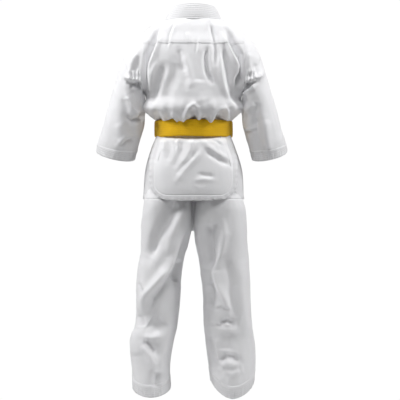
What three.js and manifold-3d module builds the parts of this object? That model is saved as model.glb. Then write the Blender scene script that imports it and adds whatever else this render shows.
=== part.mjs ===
// A child's martial arts uniform as it hangs on a standing wearer: a cross-over jacket with a quilted
// collar, a wrap belt tied at the front, and loose trousers with an elastic waistband.
//
// Frame, in millimetres: the origin is the middle of the neck opening, level with the collar's back seam.
// +Z is up, +Y is the wearer's front and +X is the wearer's right. Heights are drops below the neck.

import * as THREE from "three";
import Module from "manifold-3d";

const wasm = await Module();
wasm.setup();

// ---- Driving dimensions -------------------------------------------------------------------------

const CLOTH = 2.4; // thickness of a cloth wall
const HEM_THICK = 3.6; // a folded and stitched hem
const GAP = 0.4; // room between two pieces that touch
const NEST = 1.6; // room round a limb that turns inside another
const LAYER_EASE = 1.6; // extra room over the lapel that lies between the crossed fronts

const NECK_HALF_WIDTH = 66;
const NECK_HALF_DEPTH = 52;
const COLLAR_STAND = 40; // how high the collar stands at the back
const COLLAR_THICK = 4;
const COLLAR_LEAN = 15; // how far the collar's top edge leans in
const LAPEL_WIDTH = 42;
const SHOULDER_HALF_WIDTH = 122; // where the sleeve folds against the body
const SHOULDER_DROP = 34;
const UNDERARM_DROP = 172;
const YOKE_DROP = 57;
const CHEST_HALF_WIDTH = 154; // the body's cut, before the armholes take its sides away
const CHEST_HALF_DEPTH = 86;
const BLOUSE_HALF_WIDTH = 116; // the slack cloth that hangs over the belt
const BLOUSE_HALF_DEPTH = 92;
const FRONT_CROSSING = 34; // how far past the middle a front's edge lands at the belt

const WAIST_DROP = 243; // the belt's top edge
const WAIST_HALF_WIDTH = 83; // the jacket under the belt
const WAIST_HALF_DEPTH = 70;
const BELT_WIDTH = 40;
const BELT_THICK = 4;
const BELT_EASE = 4; // extra room at the belt's sides
const BELT_END_LENGTH = 190;
const BELT_END_START = 7; // how far below the belt the ends begin
const BELT_END_SPLAY = 13; // degrees
const KNOT_HALF_WIDTH = 27;
const KNOT_THICK = 28;

const SKIRT_LENGTH = 152; // from the belt's bottom edge to the jacket's hem
const SKIRT_HALF_WIDTH = 122;
const SKIRT_HALF_DEPTH = 94;
const TAIL_HALF_WIDTH = 106; // the back skirt between its two side slits
const TAIL_CORNER = 45; // radius of the back skirt's rounded corners
const SLIT_REACH = 45; // how far a front skirt reaches behind the side line

const SLEEVE_HALF_WIDTH = 43.5;
const ARMHOLE_HALF_DEPTH = 57;
const ELBOW_HALF_DEPTH = 46;
const ELBOW_TUCK = 0.5; // how far the sleeve's inner edge at the elbow lies inside the armhole
const ELBOW_DROP = 233;
const LOWER_SLEEVE = 100;
const SLEEVE_LEAN = 12; // degrees from straight down
const CUFF_SLOPE = 0.28; // how far a cuff's back edge hangs down, per millimetre of depth
const CUFF_HEM = 25;
const CUFF_FORWARD = 16; // how far the cuff sits in front of the elbow
const GUSSET_HALF = 30; // half the diagonal of the diamond under the arm

const WAISTBAND_HEIGHT = 34;
const ELASTIC_HEIGHT = 26;
const ELASTIC_THICK = 1.8;

const HIP_DROP = 430;
const HIP_HALF_WIDTH = 114;
const HIP_HALF_DEPTH = 81;
const CROTCH_DROP = 505;
const CROTCH_STRIP = 14; // width of the strip between the legs
const KNEE_DROP = 650;
const OUTSEAM_DROP = 888; // middle of the slanted leg hem
const THIGH_HALF_WIDTH = 59;
const THIGH_HALF_DEPTH = 72;
const KNEE_HALF_WIDTH = 57;
const KNEE_HALF_DEPTH = 65;
const KNEE_OUT = 82; // from the mid plane to the middle of a leg
const HEM_HALF_WIDTH = 50;
const HEM_HALF_DEPTH = 62;
const HEM_OUT = 99;
const HEM_SLOPE = 0.33;
const LEG_GAP = 10; // from the mid plane to the inside of a thigh
const LEG_HEM = 28;

// How far each joint lets its piece turn, in degrees; the walls round it are cut back for this.
const ELBOW_BEND = 60;
const KNEE_BEND = 60;
const HIP_FORWARD = 25;
const HIP_BACK = 15;

// ---- Solids -------------------------------------------------------------------------------------

const RADIANS = Math.PI / 180;
const TUBE_SIDES = 20;
const BODY_SIDES = 28;

// Joins, cuts and intersections run on manifold-3d; a piece stays a three.js geometry between them.
function solid(geometry) {
  const g = geometry.index ? geometry.toNonIndexed() : geometry;
  const position = g.getAttribute("position");
  const keys = new Map();
  const points = [];
  const triangles = [];
  for (let i = 0; i < position.count; i++) {
    const p = [position.getX(i), position.getY(i), position.getZ(i)];
    const key = p.map((v) => Math.round(v * 1e4)).join();
    if (!keys.has(key)) {
      keys.set(key, points.length / 3);
      points.push(...p);
    }
    triangles.push(keys.get(key));
  }
  const mesh = new wasm.Mesh({
    numProp: 3,
    vertProperties: new Float32Array(points),
    triVerts: new Uint32Array(triangles),
  });
  return new wasm.Manifold(mesh);
}

function geometryOf(manifold) {
  const mesh = manifold.getMesh();
  const vertices = new Float32Array(mesh.numVert * 3);
  for (let i = 0; i < mesh.numVert; i++) {
    vertices.set(mesh.vertProperties.subarray(i * mesh.numProp, i * mesh.numProp + 3), i * 3);
  }
  const geometry = new THREE.BufferGeometry();
  geometry.setAttribute("position", new THREE.BufferAttribute(vertices, 3));
  geometry.setIndex(new THREE.BufferAttribute(mesh.triVerts, 1));
  return geometry;
}

// A box from one corner to the other, as a manifold.
function block(low, high) {
  const size = high.map((h, k) => h - low[k]);
  const box = new THREE.BoxGeometry(...size);
  box.translate(...high.map((h, k) => (h + low[k]) / 2));
  return solid(box);
}

// A closed wall from a grid of outside points and a grid of inside points, both [row][column].
function wall(outer, inner, closed) {
  const rows = outer.length;
  const columns = outer[0].length;
  const vertices = [...outer.flat(), ...inner.flat()].flatMap((p) => [p.x, p.y, p.z]);
  const out = (i, j) => i * columns + (j % columns);
  const into = (i, j) => rows * columns + out(i, j);
  const index = [];
  const quad = (a, b, c, d) => index.push(a, b, c, a, c, d);
  const spans = closed ? columns : columns - 1;
  for (let i = 0; i < rows - 1; i++) {
    for (let j = 0; j < spans; j++) {
      quad(out(i, j), out(i, j + 1), out(i + 1, j + 1), out(i + 1, j));
      quad(into(i, j), into(i + 1, j), into(i + 1, j + 1), into(i, j + 1));
    }
    if (!closed) {
      quad(out(i, 0), out(i + 1, 0), into(i + 1, 0), into(i, 0));
      quad(out(i + 1, spans), out(i, spans), into(i, spans), into(i + 1, spans));
    }
  }
  for (let j = 0; j < spans; j++) {
    quad(out(0, j + 1), out(0, j), into(0, j), into(0, j + 1));
    quad(out(rows - 1, j), out(rows - 1, j + 1), into(rows - 1, j + 1), into(rows - 1, j));
  }
  const geometry = new THREE.BufferGeometry();
  geometry.setAttribute("position", new THREE.Float32BufferAttribute(vertices, 3));
  geometry.setIndex(signedVolume(vertices, index) < 0 ? index.reverse() : index);
  return geometry;
}

function signedVolume(vertices, index) {
  const at = (i) => new THREE.Vector3(...vertices.slice(3 * i, 3 * i + 3));
  let sum = 0;
  for (let k = 0; k < index.length; k += 3) {
    sum += at(index[k]).dot(at(index[k + 1]).cross(at(index[k + 2])));
  }
  return sum;
}

// ---- Rings: a section of the body or of a limb ---------------------------------------------------

// A ring is an oval in space: its middle, half its width as a vector, half its depth along Y, how far
// its front edge is lifted per millimetre of depth, and how square its corners are.
function ring(middle, halfWidth, halfDepth, slope = 0, squareness = 2) {
  return { middle, halfWidth, halfDepth, slope, squareness };
}

// A level ring round the body's own axis.
function bodyRing(drop, halfWidth, halfDepth, squareness = 2.3) {
  return ring(new THREE.Vector3(0, 0, -drop), new THREE.Vector3(halfWidth, 0, 0), halfDepth, 0, squareness);
}

// The point of a ring at an angle from straight back, turning towards +X; inset moves it inwards. A ring
// with a limit keeps each point's depth under what the limit allows at that point's x.
function ringPoint({ middle, halfWidth, halfDepth, slope, squareness, limit }, angle, inset) {
  const power = (v) => Math.sign(v) * Math.abs(v) ** (2 / squareness);
  const width = halfWidth.length();
  const sine = power(Math.sin(angle));
  const allowed = limit ? Math.min(halfDepth, limit(middle.x + sine * halfWidth.x)) : halfDepth;
  const reach = Math.abs(power(Math.cos(angle))) * (halfDepth - inset);
  const depth = -Math.sign(Math.cos(angle)) * Math.min(reach, Math.max(0, allowed - inset));
  return halfWidth
    .clone()
    .multiplyScalar((sine * (width - inset)) / width)
    .add(middle)
    .add(new THREE.Vector3(0, depth, slope * depth));
}

// A tube, or a part of one between two angles, through a list of rings.
function tube(rings, thick, { sides = TUBE_SIDES, from = -Math.PI, to = Math.PI, raise = 0 } = {}) {
  const closed = to - from > 2 * Math.PI - 1e-6;
  const count = closed ? sides : sides + 1;
  const angles = Array.from({ length: count }, (_, j) => from + ((to - from) * j) / sides);
  const grid = (inset) => rings.map((r) => angles.map((angle) => ringPoint(r, angle, inset)));
  return wall(grid(-raise), grid(thick - raise), closed);
}

// The ring between two rings.
function between(a, b, share) {
  const mix = (x, y) => x + (y - x) * share;
  return ring(
    a.middle.clone().lerp(b.middle, share),
    a.halfWidth.clone().lerp(b.halfWidth, share),
    mix(a.halfDepth, b.halfDepth),
    mix(a.slope, b.slope),
    mix(a.squareness, b.squareness),
  );
}

function mirrored(geometry) {
  const copy = geometry.clone().scale(-1, 1, 1);
  const index = Array.from(copy.index ? copy.index.array : copy.getAttribute("position").array.keys());
  copy.setIndex(index.reverse());
  return copy;
}

// How high above a joint the wall of an outer tube must end, so that an inner tube of half depth `limb`
// turned by `bend` degrees passes under it. The wall's inside stands at `reach` from the joint.
function clearance(limb, reach, bend) {
  const a = bend * RADIANS;
  const along = (reach - limb * Math.cos(a)) / Math.sin(a);
  return limb * Math.sin(a) - along * Math.cos(a);
}

// ---- Materials ----------------------------------------------------------------------------------

function cloth(colour, roughness = 0.9) {
  return new THREE.MeshStandardMaterial({ color: colour, roughness, metalness: 0 });
}
const WHITE_COTTON = cloth(0xf2f2f4);
const QUILTED_COLLAR = cloth(0xe9e9ec);
const YELLOW_BELT = cloth(0xf2bb18, 0.75);
const ELASTIC = cloth(0xdedee0, 0.8);
const LABEL = cloth(0xd8dadf, 0.6);

const uniform = new THREE.Group();
function add(name, geometry, material) {
  const mesh = new THREE.Mesh(geometry, material);
  mesh.name = name;
  uniform.add(mesh);
}

// ---- Jacket body --------------------------------------------------------------------------------

const BELT_BOTTOM = WAIST_DROP + BELT_WIDTH;
const FAR = 2 * OUTSEAM_DROP;

// The layers of the crossed fronts, by how far each one's outer face lies in front of the first one's.
const RIGHT_LAPEL = COLLAR_THICK + GAP;
const LEFT_FRONT = RIGHT_LAPEL + CLOTH + GAP + LAYER_EASE;
const LEFT_LAPEL = LEFT_FRONT + COLLAR_THICK + GAP;

// The jacket's body as rings from the neck to the belt's bottom edge.
const shoulderRing = bodyRing(SHOULDER_DROP, SHOULDER_HALF_WIDTH + 1, CHEST_HALF_DEPTH - 20);
const neckRing = bodyRing(0, NECK_HALF_WIDTH, NECK_HALF_DEPTH);
const bodyRings = [
  neckRing,
  bodyRing(SHOULDER_DROP * 0.42, (NECK_HALF_WIDTH + SHOULDER_HALF_WIDTH) / 2 + 5, NECK_HALF_DEPTH + 7),
  shoulderRing,
  bodyRing(YOKE_DROP, CHEST_HALF_WIDTH - 12, CHEST_HALF_DEPTH - 10),
  bodyRing((YOKE_DROP + UNDERARM_DROP) / 2, CHEST_HALF_WIDTH, CHEST_HALF_DEPTH),
  bodyRing(UNDERARM_DROP - 12, (CHEST_HALF_WIDTH + BLOUSE_HALF_WIDTH) / 2, CHEST_HALF_DEPTH + 3),
  bodyRing(UNDERARM_DROP + 12, BLOUSE_HALF_WIDTH, BLOUSE_HALF_DEPTH),
  bodyRing(WAIST_DROP - 22, BLOUSE_HALF_WIDTH - 2, BLOUSE_HALF_DEPTH),
  bodyRing(WAIST_DROP - 6, WAIST_HALF_WIDTH + 12, WAIST_HALF_DEPTH + 10, 2),
  bodyRing(WAIST_DROP - 1, WAIST_HALF_WIDTH, WAIST_HALF_DEPTH, 2),
  bodyRing(BELT_BOTTOM, WAIST_HALF_WIDTH, WAIST_HALF_DEPTH, 2),
];

// The jacket's skirts as rings from just under the belt to the hem.
const SKIRT_TOP = BELT_BOTTOM + GAP;
const SKIRT_HEM = BELT_BOTTOM + SKIRT_LENGTH;
const skirtRings = [
  bodyRing(SKIRT_TOP, WAIST_HALF_WIDTH + 8, WAIST_HALF_DEPTH + 4, 2),
  bodyRing(SKIRT_TOP + 0.16 * SKIRT_LENGTH, SKIRT_HALF_WIDTH * 0.82, SKIRT_HALF_DEPTH * 0.85),
  bodyRing(SKIRT_TOP + 0.5 * SKIRT_LENGTH, SKIRT_HALF_WIDTH * 0.95, SKIRT_HALF_DEPTH * 0.95),
  bodyRing(SKIRT_HEM, SKIRT_HALF_WIDTH, SKIRT_HALF_DEPTH),
];

const insideArmholes = block([-SHOULDER_HALF_WIDTH, -FAR, -FAR], [SHOULDER_HALF_WIDTH, FAR, FAR]);
const behind = block([-FAR, -FAR, -FAR], [FAR, -GAP / 2, FAR]);
const inFront = block([-FAR, GAP / 2, -FAR], [FAR, FAR, FAR]);

// A shell on the jacket's rings, with its depth and its width grown so that layers lie on each other.
function jacketShell(rings, deeper = 0, wider = 0, thick = CLOTH) {
  const grown = rings.map(({ middle, halfWidth, halfDepth, slope, squareness }) => {
    const width = halfWidth.clone().setLength(halfWidth.length() + wider);
    return ring(middle, width, halfDepth + deeper, slope, squareness);
  });
  return solid(tube(grown, thick, { sides: BODY_SIDES })).intersect(insideArmholes);
}

// A flat outline in the XZ plane, pushed from y = near to y = far.
function prism(points, near, far) {
  const shape = new THREE.Shape(points.map(([x, z]) => new THREE.Vector2(x, z)));
  const extruded = new THREE.ExtrudeGeometry(shape, { depth: far - near, bevelEnabled: false });
  return solid(extruded.rotateX(Math.PI / 2).translate(0, far, 0));
}

// Everything on one side of a front's edge. The edge falls from the side of the neck to past the middle
// at the belt and then straight down; side is 1 for the right front and -1 for the left, and shift moves
// the edge back from the opening.
function besideEdge(side, shift) {
  const top = side * (NECK_HALF_WIDTH - 2 + shift);
  const bottom = side * (shift - FRONT_CROSSING);
  const rise = (top - bottom) / BELT_BOTTOM;
  const outline = [
    [top + rise * FAR, FAR],
    [bottom, -BELT_BOTTOM],
    [bottom, -FAR],
    [side * FAR * 3, -FAR],
    [side * FAR * 3, FAR],
  ];
  return prism(outline, 0, FAR);
}

// The strip a lapel covers along a front's edge.
function lapelStrip(side) {
  return besideEdge(side, -GAP).subtract(besideEdge(side, LAPEL_WIDTH));
}

const back = jacketShell(bodyRings).intersect(behind);
const aboveYokeSeam = block([-FAR, -FAR, -YOKE_DROP], [FAR, FAR, FAR]);
const belowYokeSeam = block([-FAR, -FAR, -FAR], [FAR, FAR, -YOKE_DROP - GAP]);
add("back_yoke", geometryOf(back.intersect(aboveYokeSeam)), WHITE_COTTON);
add("back_panel", geometryOf(back.intersect(belowYokeSeam)), WHITE_COTTON);

// The chest's pieces and the skirt's are cut by the same edges, each on its own rings.
function crossedFront(side, rings, layer, region) {
  return jacketShell(rings, layer).intersect(besideEdge(side, 0)).intersect(region);
}
function lapel(side, rings, layer) {
  const grown = jacketShell(rings, layer, COLLAR_THICK + GAP, COLLAR_THICK);
  return grown.intersect(lapelStrip(side)).intersect(inFront);
}
add("right_front", geometryOf(crossedFront(1, bodyRings, 0, inFront)), WHITE_COTTON);
add("left_front", geometryOf(crossedFront(-1, bodyRings, LEFT_FRONT, inFront)), WHITE_COTTON);
add("right_lapel", geometryOf(lapel(1, bodyRings, RIGHT_LAPEL)), QUILTED_COLLAR);
add("left_lapel", geometryOf(lapel(-1, bodyRings, LEFT_LAPEL)), QUILTED_COLLAR);

// The collar's band stands round the back of the neck and falls to the lapels at its sides.
const collarTop = ring(
  new THREE.Vector3(0, 0, COLLAR_STAND * 0.6),
  new THREE.Vector3(NECK_HALF_WIDTH - COLLAR_LEAN, 0, 0),
  NECK_HALF_DEPTH - COLLAR_LEAN + 3,
  (-COLLAR_STAND * 0.4) / (NECK_HALF_DEPTH - COLLAR_LEAN + 3),
);
const collarFoot = bodyRing(-GAP, NECK_HALF_WIDTH, NECK_HALF_DEPTH);
const aroundNape = { sides: 24, from: -Math.PI * 0.56, to: Math.PI * 0.56 };
add("collar_band", tube([collarFoot, collarTop], COLLAR_THICK, aroundNape), QUILTED_COLLAR);

// ---- Jacket skirts ------------------------------------------------------------------------------

// The back skirt's outline between the side slits, drawn out by `extra`.
function tailOutline(extra) {
  const top = WAIST_HALF_WIDTH + 10 + extra;
  const wide = TAIL_HALF_WIDTH + extra;
  const corner = Array.from({ length: 7 }, (_, k) => {
    const turn = (Math.PI / 2) * (k / 6);
    const x = wide - TAIL_CORNER * (1 - Math.cos(turn));
    return [x, -SKIRT_HEM + TAIL_CORNER * (1 - Math.sin(turn))];
  });
  const rightSide = [[top, FAR], [top, -SKIRT_TOP], [wide, -SKIRT_TOP - 0.36 * SKIRT_LENGTH], ...corner];
  const leftSide = rightSide.map(([x, z]) => [-x, z]).reverse();
  return [...rightSide, ...leftSide];
}
const tail = jacketShell(skirtRings).intersect(prism(tailOutline(0), -FAR, -GAP / 2));
add("back_tail", geometryOf(tail), WHITE_COTTON);

// The front skirts fill the rest, from a little behind the side line to past the middle in front.
const besideTail = block([-FAR, -SLIT_REACH, -FAR], [FAR, FAR, FAR]).subtract(
  block([-TAIL_HALF_WIDTH - GAP, -FAR, -FAR], [TAIL_HALF_WIDTH + GAP, GAP / 2, FAR]),
);
add("right_front_skirt", geometryOf(crossedFront(1, skirtRings, 0, besideTail)), WHITE_COTTON);
add("left_front_skirt", geometryOf(crossedFront(-1, skirtRings, LEFT_FRONT, besideTail)), WHITE_COTTON);
add("right_lapel_tail", geometryOf(lapel(1, skirtRings, RIGHT_LAPEL)), QUILTED_COLLAR);
add("left_lapel_tail", geometryOf(lapel(-1, skirtRings, LEFT_LAPEL)), QUILTED_COLLAR);

// ---- Belt ---------------------------------------------------------------------------------------

// The belt goes round twice; its rings sit forward by half of what the crossed fronts add.
const beltBack = WAIST_HALF_DEPTH + GAP;
const beltFront = WAIST_HALF_DEPTH + LEFT_LAPEL + GAP;
const beltMiddle = (beltFront - beltBack) / 2;

function beltWrap(name, inside) {
  const width = WAIST_HALF_WIDTH + BELT_EASE + inside + BELT_THICK;
  const depth = (beltFront + beltBack) / 2 + inside + BELT_THICK;
  const at = (drop) => ring(new THREE.Vector3(0, beltMiddle, -drop), new THREE.Vector3(width, 0, 0), depth);
  add(name, tube([at(WAIST_DROP), at(BELT_BOTTOM)], BELT_THICK, { sides: BODY_SIDES }), YELLOW_BELT);
}
beltWrap("belt_inner_wrap", 0);
beltWrap("belt_outer_wrap", BELT_THICK + GAP);

const knotBack = beltFront + 2 * BELT_THICK + 2 * GAP;
const knot = new THREE.SphereGeometry(1, 16, 10);
knot.scale(KNOT_HALF_WIDTH, KNOT_THICK / 2, BELT_WIDTH / 2 - 1);
knot.translate(0, knotBack + KNOT_THICK / 2, -WAIST_DROP - BELT_WIDTH / 2);
add("belt_knot", geometryOf(solid(knot)), YELLOW_BELT);

// The two ends hang from the knot in front of the skirts, one in front of the other, and lean apart.
const endY = SKIRT_HALF_DEPTH + LEFT_LAPEL + BELT_THICK;
function beltEnd(name, side, y) {
  const end = new THREE.BoxGeometry(BELT_WIDTH, BELT_THICK, BELT_END_LENGTH);
  end.translate(0, y, -BELT_END_LENGTH / 2 - BELT_END_START);
  end.rotateY(-side * BELT_END_SPLAY * RADIANS);
  end.translate(side * BELT_WIDTH * 0.2, 0, -BELT_BOTTOM);
  add(name, end, YELLOW_BELT);
}
beltEnd("belt_end_right", 1, endY);
beltEnd("belt_end_left", -1, endY + BELT_THICK + GAP);

// ---- Sleeves ------------------------------------------------------------------------------------

const OVER_JOINT = 8; // how far above its joint an inner tube starts
const UNDER_JOINT = 10; // how far below the joint an outer tube reaches on the side that does not bend

const lean = SLEEVE_LEAN * RADIANS;
const sleeveAcross = new THREE.Vector3(Math.cos(lean), 0, Math.sin(lean));
const sleeveDown = new THREE.Vector3(Math.sin(lean), 0, -Math.cos(lean));
const elbowOut = SHOULDER_HALF_WIDTH + SLEEVE_HALF_WIDTH - ELBOW_TUCK;
const elbow = new THREE.Vector3(elbowOut, 0, -ELBOW_DROP);

// The upper sleeve turns from facing out of the armhole to facing down at the elbow. `share` runs from
// the armhole to the elbow; the sleeve's front edge is lifted at the elbow so that the forearm can bend.
const elbowClear = clearance(ELBOW_HALF_DEPTH, ELBOW_HALF_DEPTH - CLOTH, ELBOW_BEND) + 2;
const elbowLift = (elbowClear + UNDER_JOINT) / 2;
function upperSleeveRing(share) {
  const start = SHOULDER_HALF_WIDTH + GAP;
  const end = elbow.clone().addScaledVector(sleeveDown, -(elbowClear - UNDER_JOINT) / 2);
  const topStart = new THREE.Vector3(start, 0, -SHOULDER_DROP);
  const topEnd = end.clone().addScaledVector(sleeveAcross, SLEEVE_HALF_WIDTH);
  const shoulder = new THREE.Vector3(
    start + (topEnd.x - start) * 0.66,
    0,
    topStart.z + (topEnd.z - topStart.z) * 0.24,
  );
  const top = new THREE.QuadraticBezierCurve3(topStart, shoulder, topEnd).getPoint(share);
  const bottomStart = new THREE.Vector3(start, 0, -UNDERARM_DROP);
  const bottomEnd = end.clone().addScaledVector(sleeveAcross, -SLEEVE_HALF_WIDTH);
  const bottom = bottomStart.lerp(bottomEnd, share);
  const middle = top.clone().lerp(bottom, 0.5);
  const halfWidth = top.sub(bottom).multiplyScalar(0.5);
  const halfDepth = ARMHOLE_HALF_DEPTH + (ELBOW_HALF_DEPTH - ARMHOLE_HALF_DEPTH) * share;
  const lift = Math.max(0, share * 2 - 1) * (elbowLift / ELBOW_HALF_DEPTH);
  return ring(middle, halfWidth, halfDepth, lift);
}
const upperSleeve = solid(tube([0, 0.2, 0.4, 0.6, 0.8, 1].map(upperSleeveRing), CLOTH)).intersect(
  block([SHOULDER_HALF_WIDTH + GAP, -FAR, -FAR], [FAR, FAR, FAR]),
);

// The diamond gusset under the arm is let into the sleeve's inner wall.
function gussetPrism(half) {
  const middle = -UNDERARM_DROP - GUSSET_HALF - 1;
  const corners = [[0, half], [half, 0], [0, -half], [-half, 0]];
  const shape = new THREE.Shape(corners.map(([y, z]) => new THREE.Vector2(y, z + middle)));
  const through = new THREE.ExtrudeGeometry(shape, { depth: SLEEVE_HALF_WIDTH, bevelEnabled: false });
  // The outline's own plane becomes YZ, and its depth runs along +X from the armhole.
  const inside = SHOULDER_HALF_WIDTH - 5;
  const turn = new THREE.Matrix4().set(0, 0, 1, inside, 1, 0, 0, 0, 0, 1, 0, 0, 0, 0, 0, 1);
  return solid(through.applyMatrix4(turn));
}
const gusset = upperSleeve.intersect(gussetPrism(GUSSET_HALF));
const sleeveWithoutGusset = upperSleeve.subtract(gussetPrism(GUSSET_HALF + GAP * 1.5));

// The lower sleeve starts inside the upper one and widens to full size under it.
function lowerSleeveRing(along, inset) {
  const share = along / LOWER_SLEEVE;
  const middle = elbow.clone().addScaledVector(sleeveDown, along);
  middle.y += CUFF_FORWARD * Math.max(0, share) ** 2;
  const halfWidth = sleeveAcross.clone().multiplyScalar(SLEEVE_HALF_WIDTH - inset);
  const slope = CUFF_SLOPE * Math.min(1, Math.max(0, (share - 0.3) / 0.4));
  return ring(middle, halfWidth, ELBOW_HALF_DEPTH - 1 - inset, slope);
}
const nested = CLOTH + NEST;
const sleeveSteps = [
  [UNDER_JOINT * 1.2, nested],
  [UNDER_JOINT * 3, 0],
  [LOWER_SLEEVE * 0.55, 0],
  [LOWER_SLEEVE - CUFF_HEM, 0],
];
// Its top edge is slanted like the upper sleeve's bottom edge, and stays covered by it.
const sleeveTopSlope = elbowClear / (2 * (ELBOW_HALF_DEPTH - nested));
const sleeveTop = {
  ...lowerSleeveRing(-OVER_JOINT - elbowClear / 2, nested + 2.5),
  halfWidth: sleeveAcross.clone().multiplyScalar(SLEEVE_HALF_WIDTH * 0.76),
  slope: sleeveTopSlope,
};
const belowTop = sleeveSteps.map(([along, inset]) => lowerSleeveRing(along, inset));
const lowerSleeve = tube([sleeveTop, ...belowTop], CLOTH);
const cuffRings = [LOWER_SLEEVE - CUFF_HEM + GAP, LOWER_SLEEVE].map((along) => lowerSleeveRing(along, -0.6));
const cuff = tube(cuffRings, HEM_THICK);

// Both sides of the body from the geometry of the right side.
function addPair(name, geometry, material) {
  add(`right_${name}`, geometry, material);
  add(`left_${name}`, mirrored(geometry), material);
}
addPair("sleeve_upper", geometryOf(sleeveWithoutGusset), WHITE_COTTON);
addPair("underarm_gusset", geometryOf(gusset), WHITE_COTTON);
addPair("sleeve_lower", lowerSleeve, WHITE_COTTON);
addPair("sleeve_hem", cuff, WHITE_COTTON);

// ---- Trousers: waist and seat --------------------------------------------------------------------

// The waistband is a folded band: an outside wall, a facing inside it, and the elastic between them.
const bandTop = WAIST_DROP + 3;
const bandHalfWidth = WAIST_HALF_WIDTH - CLOTH - 3;
const bandHalfDepth = WAIST_HALF_DEPTH - CLOTH - 3;
function waistRing(name, inside, height, thick, material) {
  const drop = bandTop + (WAISTBAND_HEIGHT - height) / 2;
  const at = (d) => bodyRing(d, bandHalfWidth - inside, bandHalfDepth - inside, 2);
  add(name, tube([at(drop), at(drop + height)], thick, { sides: BODY_SIDES }), material);
}
waistRing("waistband", 0, WAISTBAND_HEIGHT, CLOTH, WHITE_COTTON);
waistRing("waist_elastic", CLOTH + GAP, ELASTIC_HEIGHT, ELASTIC_THICK, ELASTIC);
waistRing("waistband_facing", CLOTH + ELASTIC_THICK + 2 * GAP, WAISTBAND_HEIGHT - 2, CLOTH, WHITE_COTTON);

// The seat and the front run from under the waistband to the hips. Their bottom edge is higher in front,
// where the thighs lift further.
const hipRise = clearance(THIGH_HALF_DEPTH, HIP_HALF_DEPTH - CLOTH, HIP_FORWARD) + 3;
const hipFall = clearance(THIGH_HALF_DEPTH, HIP_HALF_DEPTH - CLOTH, HIP_BACK) + 5;
const seatTop = bandTop + WAISTBAND_HEIGHT + GAP;
const hipHalf = new THREE.Vector3(HIP_HALF_WIDTH, 0, 0);
const hipMiddle = new THREE.Vector3(0, 0, -HIP_DROP + (hipRise + hipFall) / 2);
const hipSlope = (hipRise - hipFall) / (2 * HIP_HALF_DEPTH);
const seatRings = [
  bodyRing(seatTop, bandHalfWidth, bandHalfDepth, 2),
  bodyRing(seatTop + 0.3 * (HIP_DROP - seatTop), HIP_HALF_WIDTH * 0.8, HIP_HALF_DEPTH * 0.9),
  bodyRing(seatTop + 0.75 * (HIP_DROP - seatTop), HIP_HALF_WIDTH * 0.985, HIP_HALF_DEPTH * 0.995),
  ring(hipMiddle, hipHalf, HIP_HALF_DEPTH, hipSlope, 2.3),
];
const pelvis = solid(tube(seatRings, CLOTH, { sides: BODY_SIDES }));
add("trouser_seat", geometryOf(pelvis.intersect(behind)), WHITE_COTTON);
add("trouser_front", geometryOf(pelvis.intersect(inFront)), WHITE_COTTON);

// The crotch strip hangs between the legs, from the front's bottom edge round to the seat's.
const STRIP_TOP = hipFall - GAP;
function stripPoints(inset) {
  const half = HIP_HALF_DEPTH - CLOTH - GAP - inset;
  const low = HIP_DROP - CROTCH_DROP + inset;
  const front = new THREE.Vector2(half, STRIP_TOP);
  const back = new THREE.Vector2(-half, STRIP_TOP);
  const under = new THREE.Vector2(0, low);
  const down = new THREE.QuadraticBezierCurve(front, new THREE.Vector2(half, low), under);
  const up = new THREE.QuadraticBezierCurve(under, new THREE.Vector2(-half, low), back);
  return [...down.getPoints(8), ...up.getPoints(8).slice(1)];
}
const stripShape = new THREE.Shape([...stripPoints(0), ...stripPoints(CLOTH).reverse()]);
const strip = new THREE.ExtrudeGeometry(stripShape, { depth: CROTCH_STRIP, bevelEnabled: false });
strip.translate(0, 0, -CROTCH_STRIP / 2);
const stripTurn = new THREE.Matrix4().set(0, 0, 1, 0, 1, 0, 0, 0, 0, 1, 0, -HIP_DROP, 0, 0, 0, 1);
add("crotch_strip", strip.applyMatrix4(stripTurn), WHITE_COTTON);

// ---- Trouser legs -------------------------------------------------------------------------------

// A leg's ring by its drop: how far out its middle is, its half width and its half depth.
function legRing(drop, out, halfWidth, halfDepth, slope = 0) {
  return ring(new THREE.Vector3(out, 0, -drop), new THREE.Vector3(halfWidth, 0, 0), halfDepth, slope, 2.2);
}

// A leg's shape below the hips, as a share of the way from the crotch to the knee, or knee to the hem.
const crotchRing = legRing(CROTCH_DROP, LEG_GAP + THIGH_HALF_WIDTH, THIGH_HALF_WIDTH, THIGH_HALF_DEPTH);
const kneeRing = legRing(KNEE_DROP, KNEE_OUT, KNEE_HALF_WIDTH, KNEE_HALF_DEPTH);
const hemRing = legRing(OUTSEAM_DROP, HEM_OUT, HEM_HALF_WIDTH, HEM_HALF_DEPTH, HEM_SLOPE);
const thighHalf = (HIP_HALF_WIDTH - CLOTH - 2 * NEST - LEG_GAP) / 2;
const thighOut = LEG_GAP + thighHalf;

// The top of a thigh fills its half of the pelvis. A ring `below` the hip joint keeps clear of the pelvis
// wall all the way through the hip's turn.
function thighTopRing(below) {
  const inside = bodyRing(HIP_DROP, HIP_HALF_WIDTH - CLOTH - NEST, HIP_HALF_DEPTH - CLOTH - NEST);
  const limit = (x) => {
    const share = Math.min(1, x / inside.halfWidth.x) ** inside.squareness;
    const wallDepth = inside.halfDepth * (1 - share) ** (1 / inside.squareness);
    const turns = [0, 0.5, 1].map((part) => part * HIP_FORWARD * RADIANS);
    const away = Math.abs(below);
    return Math.min(...turns.map((turn) => (wallDepth - away * Math.sin(turn)) / Math.cos(turn)));
  };
  return { ...legRing(HIP_DROP + below, thighOut, thighHalf, THIGH_HALF_DEPTH), limit };
}

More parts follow.
